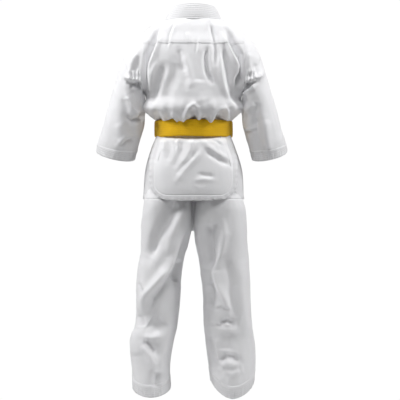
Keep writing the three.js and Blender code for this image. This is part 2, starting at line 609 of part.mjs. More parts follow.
// The thigh's bottom edge is higher behind the knee, where the shin folds up.
const kneeClear = clearance(KNEE_HALF_DEPTH, KNEE_HALF_DEPTH - CLOTH, KNEE_BEND) + 3;
const thighEnd = legRing(
  KNEE_DROP - (kneeClear - UNDER_JOINT) / 2,
  KNEE_OUT,
  KNEE_HALF_WIDTH + 0.6,
  KNEE_HALF_DEPTH + 0.6,
  -(kneeClear + UNDER_JOINT) / (2 * KNEE_HALF_DEPTH),
);
const thigh = tube(
  [
    thighTopRing(-26),
    thighTopRing(0),
    thighTopRing(26),
    legRing(HIP_DROP + 52, thighOut + 5, thighHalf + 5, THIGH_HALF_DEPTH),
    crotchRing,
    between(crotchRing, kneeRing, 0.5),
    thighEnd,
  ],
  CLOTH,
);

const nestedShin = legRing(0, 0, KNEE_HALF_WIDTH - nested, KNEE_HALF_DEPTH - nested);
function shinRing(above, narrower, slope = 0) {
  const halfWidth = nestedShin.halfWidth.x - narrower;
  return legRing(KNEE_DROP - above, KNEE_OUT - narrower / 2, halfWidth, nestedShin.halfDepth, slope);
}
const shinTopSlope = -kneeClear / (2 * nestedShin.halfDepth);
const legHemShare = LEG_HEM / (OUTSEAM_DROP - KNEE_DROP);
const shin = tube(
  [
    shinRing(OVER_JOINT + kneeClear / 2, 7, shinTopSlope),
    shinRing(-1.2 * UNDER_JOINT, 0),
    between(kneeRing, hemRing, 0.16),
    between(kneeRing, hemRing, 0.5),
    between(kneeRing, hemRing, 1 - legHemShare),
  ],
  CLOTH,
);
const gapShare = GAP / (OUTSEAM_DROP - KNEE_DROP);
const legHemRings = [between(kneeRing, hemRing, 1 - legHemShare + gapShare), hemRing];
const legHem = tube(legHemRings, HEM_THICK, { raise: 0.6 });
addPair("thigh", thigh, WHITE_COTTON);
addPair("shin", shin, WHITE_COTTON);
addPair("leg_hem", legHem, WHITE_COTTON);

export default uniform;
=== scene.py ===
"""A child's martial arts uniform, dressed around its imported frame.

Shapes are worked out in millimetres in the row frame: X to the wearer's right, Y to the wearer's front,
Z up from the neck. They become metres when a mesh is made.
"""

from __future__ import annotations

import logging
import math
from dataclasses import dataclass, field
from enum import Enum

import bpy
import mathutils
import numpy as np
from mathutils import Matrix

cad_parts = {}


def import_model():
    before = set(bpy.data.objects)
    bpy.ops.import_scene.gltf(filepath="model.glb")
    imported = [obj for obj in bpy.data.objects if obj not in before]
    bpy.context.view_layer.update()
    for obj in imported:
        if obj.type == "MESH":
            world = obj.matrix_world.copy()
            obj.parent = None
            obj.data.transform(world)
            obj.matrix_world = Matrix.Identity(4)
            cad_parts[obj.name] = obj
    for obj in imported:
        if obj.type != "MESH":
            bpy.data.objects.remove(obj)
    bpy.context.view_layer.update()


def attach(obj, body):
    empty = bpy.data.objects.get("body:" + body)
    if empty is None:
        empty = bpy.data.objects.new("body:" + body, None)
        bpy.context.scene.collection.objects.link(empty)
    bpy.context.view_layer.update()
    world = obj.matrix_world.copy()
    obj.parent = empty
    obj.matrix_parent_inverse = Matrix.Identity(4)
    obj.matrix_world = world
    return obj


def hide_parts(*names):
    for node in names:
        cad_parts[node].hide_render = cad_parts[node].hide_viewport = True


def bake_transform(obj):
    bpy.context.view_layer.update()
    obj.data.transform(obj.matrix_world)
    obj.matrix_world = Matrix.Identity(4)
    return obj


log = logging.getLogger("uniform")

MM = 0.001
# Drops from the neck, in millimetres: the belt's lower edge, the skirts' hidden top edge, the bottom of
# the jacket's body under the belt, where slack cloth bulges over the belt, the legs' hidden top edge,
# and the armhole's top and bottom.
BELT_BOTTOM = 283.0
SKIRT_TOP = 262.0
BODY_BOTTOM = 281.0
BLOUSE_DROP = 213.0
LEG_TOP = 408.0
ARMHOLE_TOP, ARMHOLE_BOTTOM = 34.0, 172.0
# How strongly each garment's folds stand out; the sides that face away from their drawing are calmer.
TORSO_RELIEF = 1.55
TAIL_RELIEF = 1.15
SLEEVE_RELIEF, SLEEVE_FRONT_RELIEF = 1.5, 0.7
LEG_RELIEF, LEG_FRONT_RELIEF = 1.9, 1.2
Array = np.ndarray
UP = np.array([0.0, 0.0, 1.0])


# ---- Curves and sections -------------------------------------------------------------------------


def smooth_track(knots: Array, values: Array, at: Array) -> Array:
    """A smooth curve through values given at knots, read at other places.

    Each span is a cubic that leaves and arrives with the average slope of its neighbours.

    Args:
        knots: rising places, one for each row of values.
        values: a row of numbers for each knot.
        at: the places to read.

    Returns:
        One row for each place in `at`.
    """
    knots = np.asarray(knots, float)
    values = np.asarray(values, float).reshape(len(knots), -1)
    slopes = np.gradient(values, knots, axis=0)
    at = np.clip(np.asarray(at, float), knots[0], knots[-1])
    i = np.clip(np.searchsorted(knots, at) - 1, 0, len(knots) - 2)
    span = (knots[i + 1] - knots[i])[:, None]
    t = (at - knots[i])[:, None] / span
    leave, arrive = slopes[i] * span, slopes[i + 1] * span
    return (
        (2 * t**3 - 3 * t**2 + 1) * values[i]
        + (t**3 - 2 * t**2 + t) * leave
        + (3 * t**2 - 2 * t**3) * values[i + 1]
        + (t**3 - t**2) * arrive
    )


def smooth_step(low: float, high: float, x: Array) -> Array:
    """0 below low, 1 above high, and a soft S between them."""
    t = np.clip((np.asarray(x, float) - low) / (high - low), 0.0, 1.0)
    return t * t * (3 - 2 * t)


def oval(angle: Array, width: Array, depth: Array, square: Array | float) -> tuple[Array, Array]:
    """Points of a rounded section at angles from straight back, turning towards +X.

    Across is width times the sine, and depth is minus depth times the cosine, each raised to two over
    the squareness so that the corners fill out.

    Args:
        angle: radians from -Y.
        width: half the section's width.
        depth: half the section's depth.
        square: 2 is an ellipse; more is squarer.

    Returns:
        The x and y of each point.
    """
    power = 2.0 / square
    sine, cosine = np.sin(angle), np.cos(angle)
    x = np.sign(sine) * np.abs(sine) ** power * width
    y = -np.sign(cosine) * np.abs(cosine) ** power * depth
    return x, y


def depth_at(share: Array, depth: Array, square: Array) -> Array:
    """The depth of a rounded section at a share of its half width, as `oval` shapes it."""
    return depth * (1 - share**square) ** (1 / square)


def stack(*parts: Array) -> Array:
    """Arrays of x, y and z joined as points, after they are spread to one shape."""
    return np.stack(np.broadcast_arrays(*parts), axis=-1).astype(float)


def normals_of(points: Array, closed: bool) -> Array:
    """Unit normals of a grid of points: down the rows crossed with along the columns, which points outwards
    where the rows go down and the columns turn from the back towards +X.

    Args:
        points: rows by columns by 3.
        closed: whether the last column meets the first.

    Returns:
        A unit vector for each point.
    """
    if closed:
        padded = np.concatenate([points[:, -1:], points, points[:, :1]], axis=1)
        across = (padded[:, 2:] - padded[:, :-2]) / 2
    else:
        across = np.gradient(points, axis=1)
    along = np.gradient(points, axis=0)
    cross = np.cross(along, across)
    return cross / np.maximum(np.linalg.norm(cross, axis=-1, keepdims=True), 1e-9)


# ---- Folds ---------------------------------------------------------------------------------------


class FoldKind(Enum):
    """How a fold's cross-section rises and falls."""

    RIDGE = "ridge"
    GROOVE = "groove"
    LAP = "lap"


RIDGE, GROOVE, LAP = FoldKind


@dataclass(frozen=True)
class Fold:
    """One fold of the cloth, drawn as a line in the XZ plane.

    A ridge or groove falls off as a bell to either side of its line. A lap rises on one side of its line
    and sinks on the other, as where cloth lies over itself: it rises on the +X side of a line drawn down.

    Attributes:
        kind: the cross-section.
        height: how far it stands out, in millimetres; a groove's is negative.
        width: how far it spreads to either side.
        path: the line's points, x then z.
    """

    kind: FoldKind
    height: float
    width: float
    path: tuple[tuple[float, float], ...]

    def relief(self, x: Array, z: Array) -> Array:
        """How far this fold moves each place outwards.

        The nearest place on the line is found on each of its spans, and the closest of them gives the
        distance, the side, and the share of the way along, which fades the fold at both ends.

        Args:
            x: across.
            z: up.

        Returns:
            Millimetres, one for each place.
        """
        path = np.asarray(self.path, float)
        lengths = np.linalg.norm(np.diff(path, axis=0), axis=1)
        total = lengths.sum()
        best = np.full(x.shape, np.inf)
        side = np.zeros(x.shape)
        share = np.zeros(x.shape)
        done = 0.0
        for start, end, length in zip(path[:-1], path[1:], lengths):
            dx, dz = (end - start) / length
            run = (x - start[0]) * dx + (z - start[1]) * dz
            off = (x - start[0]) * dz - (z - start[1]) * dx
            held = np.clip(run, 0.0, length)
            far = np.sqrt(off**2 + (run - held) ** 2)
            near = far < best
            best = np.where(near, far, best)
            side = np.where(near, off, side)
            share = np.where(near, (done + held) / total, share)
            done += length
        fade = smooth_step(0.0, 0.3, share + 0.12) * smooth_step(0.0, 0.3, 1.12 - share)
        bell = np.exp(-((best / self.width) ** 2))
        if self.kind is LAP:
            bell = np.clip(side / self.width, -3, 3) * np.exp(0.5 - 0.5 * (best / self.width) ** 2) * -1.0
            return abs(self.height) * bell * fade
        return self.height * bell * fade


def folded(points: Array, normals: Array, folds: tuple[Fold, ...], facing: float = -1.0) -> Array:
    """How far a set of folds moves a surface outwards, on the side of it that faces them.

    Args:
        points: the surface.
        normals: its normals.
        folds: the folds.
        facing: -1 for folds seen from behind, and 1 for folds seen from the front.

    Returns:
        Millimetres, one for each point.
    """
    shown = smooth_step(-0.05, 0.45, facing * normals[..., 1])
    total = np.zeros(points.shape[:2])
    for fold in folds:
        total += fold.relief(points[..., 0], points[..., 2])
    return total * shown


def mirrored_folds(folds: tuple[Fold, ...], height: float = 1.0, width: float = 1.0) -> tuple[Fold, ...]:
    """The same folds on the other side of the mid plane.

    Args:
        folds: the folds.
        height: what their heights are multiplied by.
        width: what their widths are multiplied by.

    Returns:
        The mirrored folds.
    """
    return tuple(
        Fold(f.kind, f.height * height, f.width * width, tuple((-x, z) for x, z in f.path)) for f in folds
    )


def drift(points: Array, scale: tuple[float, float, float], seed: int, octaves: int = 9) -> Array:
    """Slow waves that give cloth its unevenness: a sum of sines in random directions.

    Args:
        points: where to read it.
        scale: the length of a wave along each axis, in millimetres.
        seed: makes one garment's waves differ from another's.
        octaves: how many waves are summed.

    Returns:
        Values of about -1 to 1.
    """
    rng = np.random.default_rng(seed)
    directions = rng.normal(size=(octaves, 3))
    directions /= np.linalg.norm(directions, axis=1, keepdims=True)
    rates = directions * (0.6 + rng.random((octaves, 1)) * 1.1) * 2 * math.pi / np.asarray(scale)
    phases = rng.random(octaves) * 2 * math.pi
    bend = np.sin(points @ rates[0] * 0.5 + phases[0])[..., None] * 0.9
    waves = np.sin(points @ rates.T + phases + bend)
    return waves.sum(axis=-1) / math.sqrt(octaves) * 0.8


def creases(points: Array, scale: tuple[float, float, float], seed: int) -> Array:
    """Narrow raised creases: one minus the size of a slow wave, sharpened, so that it peaks where the wave
    passes through nothing."""
    wave = drift(points, scale, seed, 6)
    return np.exp(-((wave / 0.28) ** 2)) * smooth_step(-0.2, 0.8, drift(points, scale, seed + 7, 5))


# ---- Meshes --------------------------------------------------------------------------------------


def grid_cells(rows: int, columns: int, spans: int) -> tuple[Array, Array, Array]:
    """The cells of a grid of points, whose last column may meet its first.

    Args:
        rows: how many rows of points there are.
        columns: how many points are in a row.
        spans: how many cells are in a row: as many as the points where the grid is closed.

    Returns:
        Each cell's row, its column, and its four points.
    """
    i, j = np.meshgrid(np.arange(rows - 1), np.arange(spans), indexing="ij")
    i, j = i.ravel(), j.ravel()
    k = (j + 1) % columns
    return i, j, np.stack([i * columns + j, i * columns + k, (i + 1) * columns + k, (i + 1) * columns + j], 1)


def faces_inward(vertices: Array, quads: Array) -> bool:
    """Whether a closed mesh's faces look into it, by the sign of the volume that they enclose."""
    corners = vertices[quads]
    volume = np.einsum("ij,ij->", corners[:, 0], np.cross(corners[:, 1], corners[:, 2]))
    volume += np.einsum("ij,ij->", corners[:, 0], np.cross(corners[:, 2], corners[:, 3]))
    return bool(volume < 0)


def tangents(path: Array) -> Array:
    """The unit direction of a path at each of its points."""
    steps = np.gradient(path, axis=0)
    return steps / np.linalg.norm(steps, axis=1, keepdims=True)


@dataclass
class Cloth:
    """A piece of cloth as two grids of points, its outside and its inside, joined round the edges.

    Attributes:
        name: the piece's name.
        outer: the outside, rows by columns by 3, in millimetres.
        thick: the cloth's thickness.
        closed: whether the columns go right round.
        hem: distance to the hem and length along it for each point, in millimetres.
    """

    name: str
    outer: Array
    thick: float | Array = 0.9
    closed: bool = False
    hem: tuple[Array, Array] | None = None

    def build(self) -> bpy.types.Object:
        """The mesh object, with smooth shading, the UV map Cloth in metres along the cloth, and the UV map
        Hem with the length along the hem and the distance to it.

        Returns:
            The object, at the origin.
        """
        outer = self.outer
        rows, columns = outer.shape[:2]
        normals = normals_of(outer, self.closed)
        thick = np.broadcast_to(np.asarray(self.thick, float), (rows, columns))[..., None]
        inner = outer - normals * thick
        vertices = np.concatenate([outer.reshape(-1, 3), inner.reshape(-1, 3)])
        spans = columns if self.closed else columns - 1
        i, j, out = grid_cells(rows, columns, spans)
        base = rows * columns
        into = (out + base)[:, ::-1]
        grid_ij = np.stack([i, i, i + 1, i + 1], 1), np.stack([j, j + 1, j + 1, j], 1)
        faces = [out, into]
        where = [grid_ij, (grid_ij[0][:, ::-1], grid_ij[1][:, ::-1])]
        edge = np.arange(spans)
        nxt = (edge + 1) % columns
        for row, order in ((0, 1), (rows - 1, -1)):
            a, b = row * columns + edge, row * columns + nxt
            quads = np.stack([b, a, a + base, b + base], 1)[:, ::order]
            faces.append(quads)
            place = np.stack([edge + 1, edge, edge, edge + 1], 1)[:, ::order]
            where.append((np.full_like(place, row), place))
        if not self.closed:
            rise = np.arange(rows - 1)
            for column, order in ((0, 1), (columns - 1, -1)):
                a, b = rise * columns + column, (rise + 1) * columns + column
                quads = np.stack([a, b, b + base, a + base], 1)[:, ::order]
                faces.append(quads)
                place = np.stack([rise, rise + 1, rise + 1, rise], 1)[:, ::order]
                where.append((place, np.full_like(place, column)))
        quads = np.concatenate(faces)
        rows_of = np.concatenate([w[0] for w in where])
        columns_of = np.concatenate([w[1] for w in where])
        if faces_inward(vertices, quads):
            quads, rows_of, columns_of = quads[:, ::-1], rows_of[:, ::-1], columns_of[:, ::-1]
        obj = mesh_object(self.name, vertices, quads)
        # The rims are flat-shaded, so that the faces beside them keep the cloth's own shading.
        smooth = np.arange(len(quads)) < 2 * len(out)
        obj.data.polygons.foreach_set("use_smooth", smooth)
        u, v = self._lengths()
        write_uv(obj, "Cloth", u[columns_of], v[rows_of])
        if self.hem is not None:
            distance, run = self.hem
            at = (rows_of, columns_of % columns)
            write_uv(obj, "Hem", run[at] * MM, distance[at] * MM)
        return obj

    def _lengths(self) -> tuple[Array, Array]:
        """The length along the cloth at each column, with one more for the seam, and at each row."""
        across = np.linalg.norm(np.diff(self.outer, axis=1, append=self.outer[:, :1]), axis=-1).mean(axis=0)
        along = np.linalg.norm(np.diff(self.outer, axis=0), axis=-1).mean(axis=1)
        u = np.concatenate([[0.0], np.cumsum(across)])
        v = np.concatenate([[0.0], np.cumsum(along)])
        return u * MM, v * MM


def mesh_object(name: str, vertices: Array, faces: Array) -> bpy.types.Object:
    """A smooth-shaded mesh object at the origin from points in millimetres and faces of one size."""
    mesh = bpy.data.meshes.new(name)
    mesh.vertices.add(len(vertices))
    mesh.vertices.foreach_set("co", (vertices * MM).astype(np.float32).ravel())
    size = faces.shape[1]
    mesh.loops.add(faces.size)
    mesh.loops.foreach_set("vertex_index", faces.astype(np.int32).ravel())
    mesh.polygons.add(len(faces))
    mesh.polygons.foreach_set("loop_start", np.arange(0, faces.size, size, dtype=np.int32))
    mesh.update(calc_edges=True)
    mesh.polygons.foreach_set("use_smooth", np.ones(len(faces), bool))
    mesh.validate()
    obj = bpy.data.objects.new(name, mesh)
    bpy.context.scene.collection.objects.link(obj)
    return obj


def write_uv(obj: bpy.types.Object, name: str, u: Array, v: Array) -> None:
    """Stores a UV map from values for each face corner."""
    layer = obj.data.uv_layers.new(name=name)
    layer.data.foreach_set("uv", np.stack([u.ravel(), v.ravel()], 1).astype(np.float32).ravel())


def swept(
    name: str, path: Array, side: Array, face: Array, width: Array | float, thick: Array | float
) -> bpy.types.Object:
    """A flat strap carried along a path: a rounded rectangle at each point, capped at both ends.

    The section's across is width times a cosine and its rise is thickness times a sine, each raised to
    a small power, which squares the ellipse into a strap with soft edges.

    Args:
        name: the piece's name.
        path: the middle of the strap at each step.
        side: the unit direction across the strap at each step.
        face: the unit direction out of its face at each step.
        width: half the strap's width, for the whole strap or at each step.
        thick: half its thickness, in the same way.

    Returns:
        The object, with the UV map Cloth in metres across and along.
    """
    turns = 28
    angle = (np.arange(turns) + 0.5) * 2 * math.pi / turns
    cosine, sine = np.cos(angle), np.sin(angle)
    across = np.sign(cosine) * np.abs(cosine) ** 0.35
    rise = np.sign(sine) * np.abs(sine) ** 0.55
    width = np.broadcast_to(width, len(path))[:, None, None]
    thick = np.broadcast_to(thick, len(path))[:, None, None]
    rings = (
        path[:, None]
        + side[:, None] * width * across[None, :, None]
        + face[:, None] * thick * rise[None, :, None]
    )
    count = len(path)
    _, _, quads = grid_cells(count, turns, turns)
    half = np.arange(turns // 2 - 1)
    caps = []
    for row, order in ((0, 1), (count - 1, -1)):
        a, b = half, half + 1
        c, d = turns - 2 - half, turns - 1 - half
        caps.append((np.stack([a, d, c, b], 1) + row * turns)[:, ::order])
    faces = np.concatenate([quads, *caps])
    vertices = rings.reshape(-1, 3)
    if faces_inward(vertices, faces):
        faces = faces[:, ::-1]
    obj = mesh_object(name, vertices, faces)
    run = np.concatenate([[0.0], np.cumsum(np.linalg.norm(np.diff(path, axis=0), axis=1))])
    u = (across[None, :] * np.broadcast_to(width[:, 0], (count, turns))).ravel()
    v = np.repeat(run, turns)
    write_uv(obj, "Cloth", u[faces] * MM, v[faces] * MM)
    edge = u + np.repeat(np.broadcast_to(width[:, 0, 0], count), turns)
    write_uv(obj, "Hem", v[faces] * MM, edge[faces] * MM)
    return obj


# ---- Finishes ------------------------------------------------------------------------------------


class Graph:
    """A node tree with short ways to add nodes, number maths and links."""

    def __init__(self, tree: bpy.types.NodeTree) -> None:
        """Keeps the tree that nodes are added to."""
        self.tree = tree

    def node(self, kind: str, **settings: object) -> bpy.types.Node:
        """A new node of a kind, with its settings."""
        made = self.tree.nodes.new(kind)
        for key, value in settings.items():
            setattr(made, key, value)
        return made

    def feed(self, socket: bpy.types.NodeSocket, value: object) -> None:
        """Links a socket, or sets a plain value, into a node's input."""
        if isinstance(value, bpy.types.NodeSocket):
            self.tree.links.new(value, socket)
        else:
            socket.default_value = value

    def maths(self, operation: str, *values: object, clamp: bool = False) -> bpy.types.NodeSocket:
        """The result of one operation on numbers or sockets."""
        made = self.node("ShaderNodeMath", operation=operation, use_clamp=clamp)
        for socket, value in zip(made.inputs, values):
            self.feed(socket, value)
        return made.outputs[0]

    def soft_band(
        self, value: object, low: float, high: float, to_low: float, to_high: float
    ) -> bpy.types.NodeSocket:
        """A number mapped smoothly from one range to another."""
        made = self.node("ShaderNodeMapRange", interpolation_type="SMOOTHSTEP")
        for socket, part in zip(made.inputs, (value, low, high, to_low, to_high)):
            self.feed(socket, part)
        return made.outputs[0]

    def noise(
        self, vector: object, scale: float, detail: float = 2.0, roughness: float = 0.5
    ) -> bpy.types.NodeSocket:
        """Noise read at a vector."""
        made = self.node("ShaderNodeTexNoise")
        self.feed(made.inputs["Vector"], vector)
        made.inputs["Scale"].default_value = scale
        made.inputs["Detail"].default_value = detail
        made.inputs["Roughness"].default_value = roughness
        return made.outputs[0]

    def mix(self, share: object, first: object, second: object) -> bpy.types.NodeSocket:
        """Two colours mixed by a share."""
        made = self.node("ShaderNodeMix", data_type="RGBA")
        self.feed(made.inputs[0], share)
        self.feed(made.inputs[6], first)
        self.feed(made.inputs[7], second)
        return made.outputs[2]


def make_group(
    name: str, inputs: dict[str, float | None], outputs: tuple[str, ...]
) -> tuple[bpy.types.NodeTree, Graph, bpy.types.Node, bpy.types.Node]:
    """An empty node group with named sockets; an input whose value is None is a vector.

    Args:
        name: the group's name.
        inputs: each input's name and its value.
        outputs: each output's name.

    Returns:
        The tree, its graph, and the nodes that hold its inputs and its outputs.
    """
    tree = bpy.data.node_groups.new(name, "ShaderNodeTree")
    for key, value in inputs.items():
        kind = "NodeSocketVector" if value is None else "NodeSocketFloat"
        socket = tree.interface.new_socket(key, in_out="INPUT", socket_type=kind)
        if value is not None:
            socket.default_value = value
    for key in outputs:
        tree.interface.new_socket(key, in_out="OUTPUT", socket_type="NodeSocketFloat")
    graph = Graph(tree)
    return tree, graph, graph.node("NodeGroupInput"), graph.node("NodeGroupOutput")


def weave_group() -> bpy.types.NodeTree:
    """Woven threads: two crossing sets of sine ridges that take turns on top, with a slant that makes twill.

    Returns:
        A group that turns a cloth UV into a height of 0 to 1 and a slow unevenness of 0 to 1.
    """
    tree, graph, given, result = make_group(
        "Weave", {"Vector": None, "Pitch": 0.001, "Twill": 0.5}, ("Height", "Uneven")
    )
    apart = graph.node("ShaderNodeSeparateXYZ")
    graph.feed(apart.inputs[0], given.outputs["Vector"])
    rate = graph.maths("DIVIDE", 2 * math.pi, given.outputs["Pitch"])
    across = graph.maths("MULTIPLY", apart.outputs[0], rate)
    along = graph.maths("MULTIPLY", apart.outputs[1], rate)
    crossing = graph.maths("MULTIPLY", graph.maths("SINE", across), graph.maths("SINE", along))
    slant = graph.maths("SINE", graph.maths("MULTIPLY", graph.maths("ADD", across, along), 0.5))
    twill = graph.maths("MULTIPLY", slant, given.outputs["Twill"])
    height = graph.maths("MULTIPLY_ADD", graph.maths("ADD", crossing, twill), 0.33, 0.5)
    slub = graph.noise(given.outputs["Vector"], 260.0, 3.0, 0.6)
    graph.feed(result.inputs["Height"], graph.maths("MULTIPLY_ADD", slub, 0.35, height))
    graph.feed(result.inputs["Uneven"], graph.noise(given.outputs["Vector"], 24.0, 4.0, 0.55))
    return tree


def stitch_group() -> bpy.types.NodeTree:
    """Rows of stitches beside a hem, from a UV whose first number runs along it and second goes away.

    A row is where the distance, counted in spacings, is nearest a half. A stitch is the part of each
    stitch length that is not the hole between two stitches.

    Returns:
        A group with the thread's mask and the dimple round each row.
    """
    tree, graph, given, result = make_group(
        "Stitch rows",
        {"Vector": None, "Spacing": 0.005, "Rows": 2.0, "Length": 0.0032, "Thread": 0.0006},
        ("Thread", "Dimple"),
    )
    apart = graph.node("ShaderNodeSeparateXYZ")
    graph.feed(apart.inputs[0], given.outputs["Vector"])
    run, away = apart.outputs[0], apart.outputs[1]
    count = graph.maths("DIVIDE", away, given.outputs["Spacing"])
    within = graph.maths("LESS_THAN", count, given.outputs["Rows"])
    inside = graph.maths("MULTIPLY", within, graph.maths("GREATER_THAN", count, 0.0))
    off = graph.maths("ABSOLUTE", graph.maths("SUBTRACT", graph.maths("FRACT", count), 0.5))
    far = graph.maths("MULTIPLY", off, given.outputs["Spacing"])
    beside = graph.maths("DIVIDE", far, given.outputs["Thread"])
    line = graph.soft_band(beside, 0.6, 1.2, 1.0, 0.0)
    dimple = graph.soft_band(beside, 0.0, 3.2, 1.0, 0.0)
    part = graph.maths("FRACT", graph.maths("DIVIDE", run, given.outputs["Length"]))
    dash = graph.maths("ABSOLUTE", graph.maths("SUBTRACT", part, 0.5))
    stitch = graph.soft_band(dash, 0.36, 0.46, 1.0, 0.0)
    thread = graph.maths("MULTIPLY", line, stitch)
    graph.feed(result.inputs["Thread"], graph.maths("MULTIPLY", thread, inside))
    graph.feed(result.inputs["Dimple"], graph.maths("MULTIPLY", dimple, inside))
    return tree


@dataclass(frozen=True)
class FabricFinish:
    """How a woven fabric looks.

    Attributes:
        name: the material's name.
        light: the colour of the threads' tops.
        deep: the colour between threads, darker as painted shade in the hollows of the weave.
        pitch: the width of a thread, in metres.
        twill: how much the weave slants.
        relief: how deep the weave is, in metres.
        roughness: the surface's roughness.
        sheen: the share of soft sheen.
        rows: how many rows of stitches follow the hem.
        spacing: the distance between rows, in metres.
        stitch: a stitch's length, in metres.
        ribs: the distance between ribs along a strap, in metres, or 0.
    """

    name: str
    light: tuple[float, float, float, float]
    deep: tuple[float, float, float, float]
    pitch: float = 0.0011
    twill: float = 0.6
    relief: float = 0.00012
    roughness: float = 0.9
    sheen: float = 0.25
    rows: float = 2.0
    spacing: float = 0.0045
    stitch: float = 0.0034
    ribs: float = 0.0

    def make(self, groups: dict[str, bpy.types.NodeTree]) -> bpy.types.Material:
        """The material: weave, unevenness, ribs and stitches feeding colour, roughness and bump.

        Args:
            groups: the shared node groups by name.

        Returns:
            The material.
        """
        material = bpy.data.materials.new(self.name)
        material.use_nodes = True
        graph = Graph(material.node_tree)
        shader = next(n for n in graph.tree.nodes if n.type == "BSDF_PRINCIPLED")
        cloth = graph.node("ShaderNodeUVMap", uv_map="Cloth").outputs[0]
        hem = graph.node("ShaderNodeUVMap", uv_map="Hem").outputs[0]
        place = graph.node("ShaderNodeTexCoord").outputs["Object"]
        weave = graph.node("ShaderNodeGroup", node_tree=groups["weave"])
        graph.feed(weave.inputs["Vector"], cloth)
        weave.inputs["Pitch"].default_value = self.pitch
        weave.inputs["Twill"].default_value = self.twill
        stitches = graph.node("ShaderNodeGroup", node_tree=groups["stitch"])
        graph.feed(stitches.inputs["Vector"], hem)
        stitches.inputs["Spacing"].default_value = self.spacing
        stitches.inputs["Rows"].default_value = self.rows
        stitches.inputs["Length"].default_value = self.stitch
        cloud = graph.noise(place, 9.0, 3.0, 0.5)
        wear = graph.maths("MULTIPLY_ADD", weave.outputs["Uneven"], 0.5, graph.maths("MULTIPLY", cloud, 0.5))
        worn = graph.maths("MULTIPLY", wear, 0.45)
        # The colour is darker where the weave is low: painted shade between the threads, mixed with a random
        # uneven tone.
        tops = graph.maths("MULTIPLY_ADD", weave.outputs["Height"], 0.55, worn, clamp=True)
        colour = graph.mix(tops, self.deep, self.light)
        shadow = tuple(c * 0.72 for c in self.deep[:3]) + (1.0,)
        colour = graph.mix(graph.maths("MULTIPLY", stitches.outputs["Dimple"], 0.4), colour, shadow)
        colour = graph.mix(graph.maths("MULTIPLY", stitches.outputs["Thread"], 0.8), colour, self.light)
        graph.feed(shader.inputs["Base Color"], colour)
        rough = graph.soft_band(wear, 0.3, 0.7, self.roughness - 0.06, self.roughness + 0.05)
        graph.feed(shader.inputs["Roughness"], rough)
        height = graph.maths("MULTIPLY", weave.outputs["Height"], self.relief)
        if self.ribs:
            split = graph.node("ShaderNodeSeparateXYZ")
            graph.feed(split.inputs[0], cloth)
            turn = graph.maths("MULTIPLY", split.outputs[0], 2 * math.pi / self.ribs)
            height = graph.maths("MULTIPLY_ADD", graph.maths("SINE", turn), self.relief * 1.5, height)
        height = graph.maths("MULTIPLY_ADD", stitches.outputs["Thread"], 0.0004, height)
        height = graph.maths("MULTIPLY_ADD", stitches.outputs["Dimple"], -0.0005, height)
        bump = graph.node("ShaderNodeBump")
        bump.inputs["Strength"].default_value = 0.9
        bump.inputs["Distance"].default_value = 1.0
        graph.feed(bump.inputs["Height"], height)
        graph.feed(shader.inputs["Normal"], bump.outputs[0])
        shader.inputs["Sheen Weight"].default_value = self.sheen
        shader.inputs["Sheen Roughness"].default_value = 0.5
        shader.inputs["Specular IOR Level"].default_value = 0.25
        return material


COTTON_TOP = (0.86, 0.86, 0.875, 1)
COTTON_DEEP = (0.80, 0.80, 0.815, 1)
COTTON = FabricFinish("white_cotton", COTTON_TOP, COTTON_DEEP)
CUFF_COTTON = FabricFinish("stitched_cotton", COTTON_TOP, COTTON_DEEP, rows=5.0, spacing=0.0046)
COLLAR_COTTON = FabricFinish(
    "quilted_cotton", (0.85, 0.85, 0.865, 1), (0.78, 0.78, 0.795, 1), rows=8.0, spacing=0.005, stitch=0.004
)
BELT_COTTON = FabricFinish(
    "belt_cotton",
    (0.98, 0.60, 0.006, 1),
    (0.86, 0.46, 0.003, 1),
    pitch=0.0012,
    twill=0.1,
    relief=0.0001,
    roughness=0.72,
    sheen=0.08,
    rows=8.0,
    spacing=0.005,
    stitch=0.0045,
    ribs=0.00125,
)
ELASTIC_KNIT = FabricFinish(
    "elastic_knit", (0.84, 0.84, 0.85, 1), (0.70, 0.70, 0.72, 1), pitch=0.0016, relief=0.0003, ribs=0.002
)


# ---- Where the folds lie ------------------------------------------------------------------------

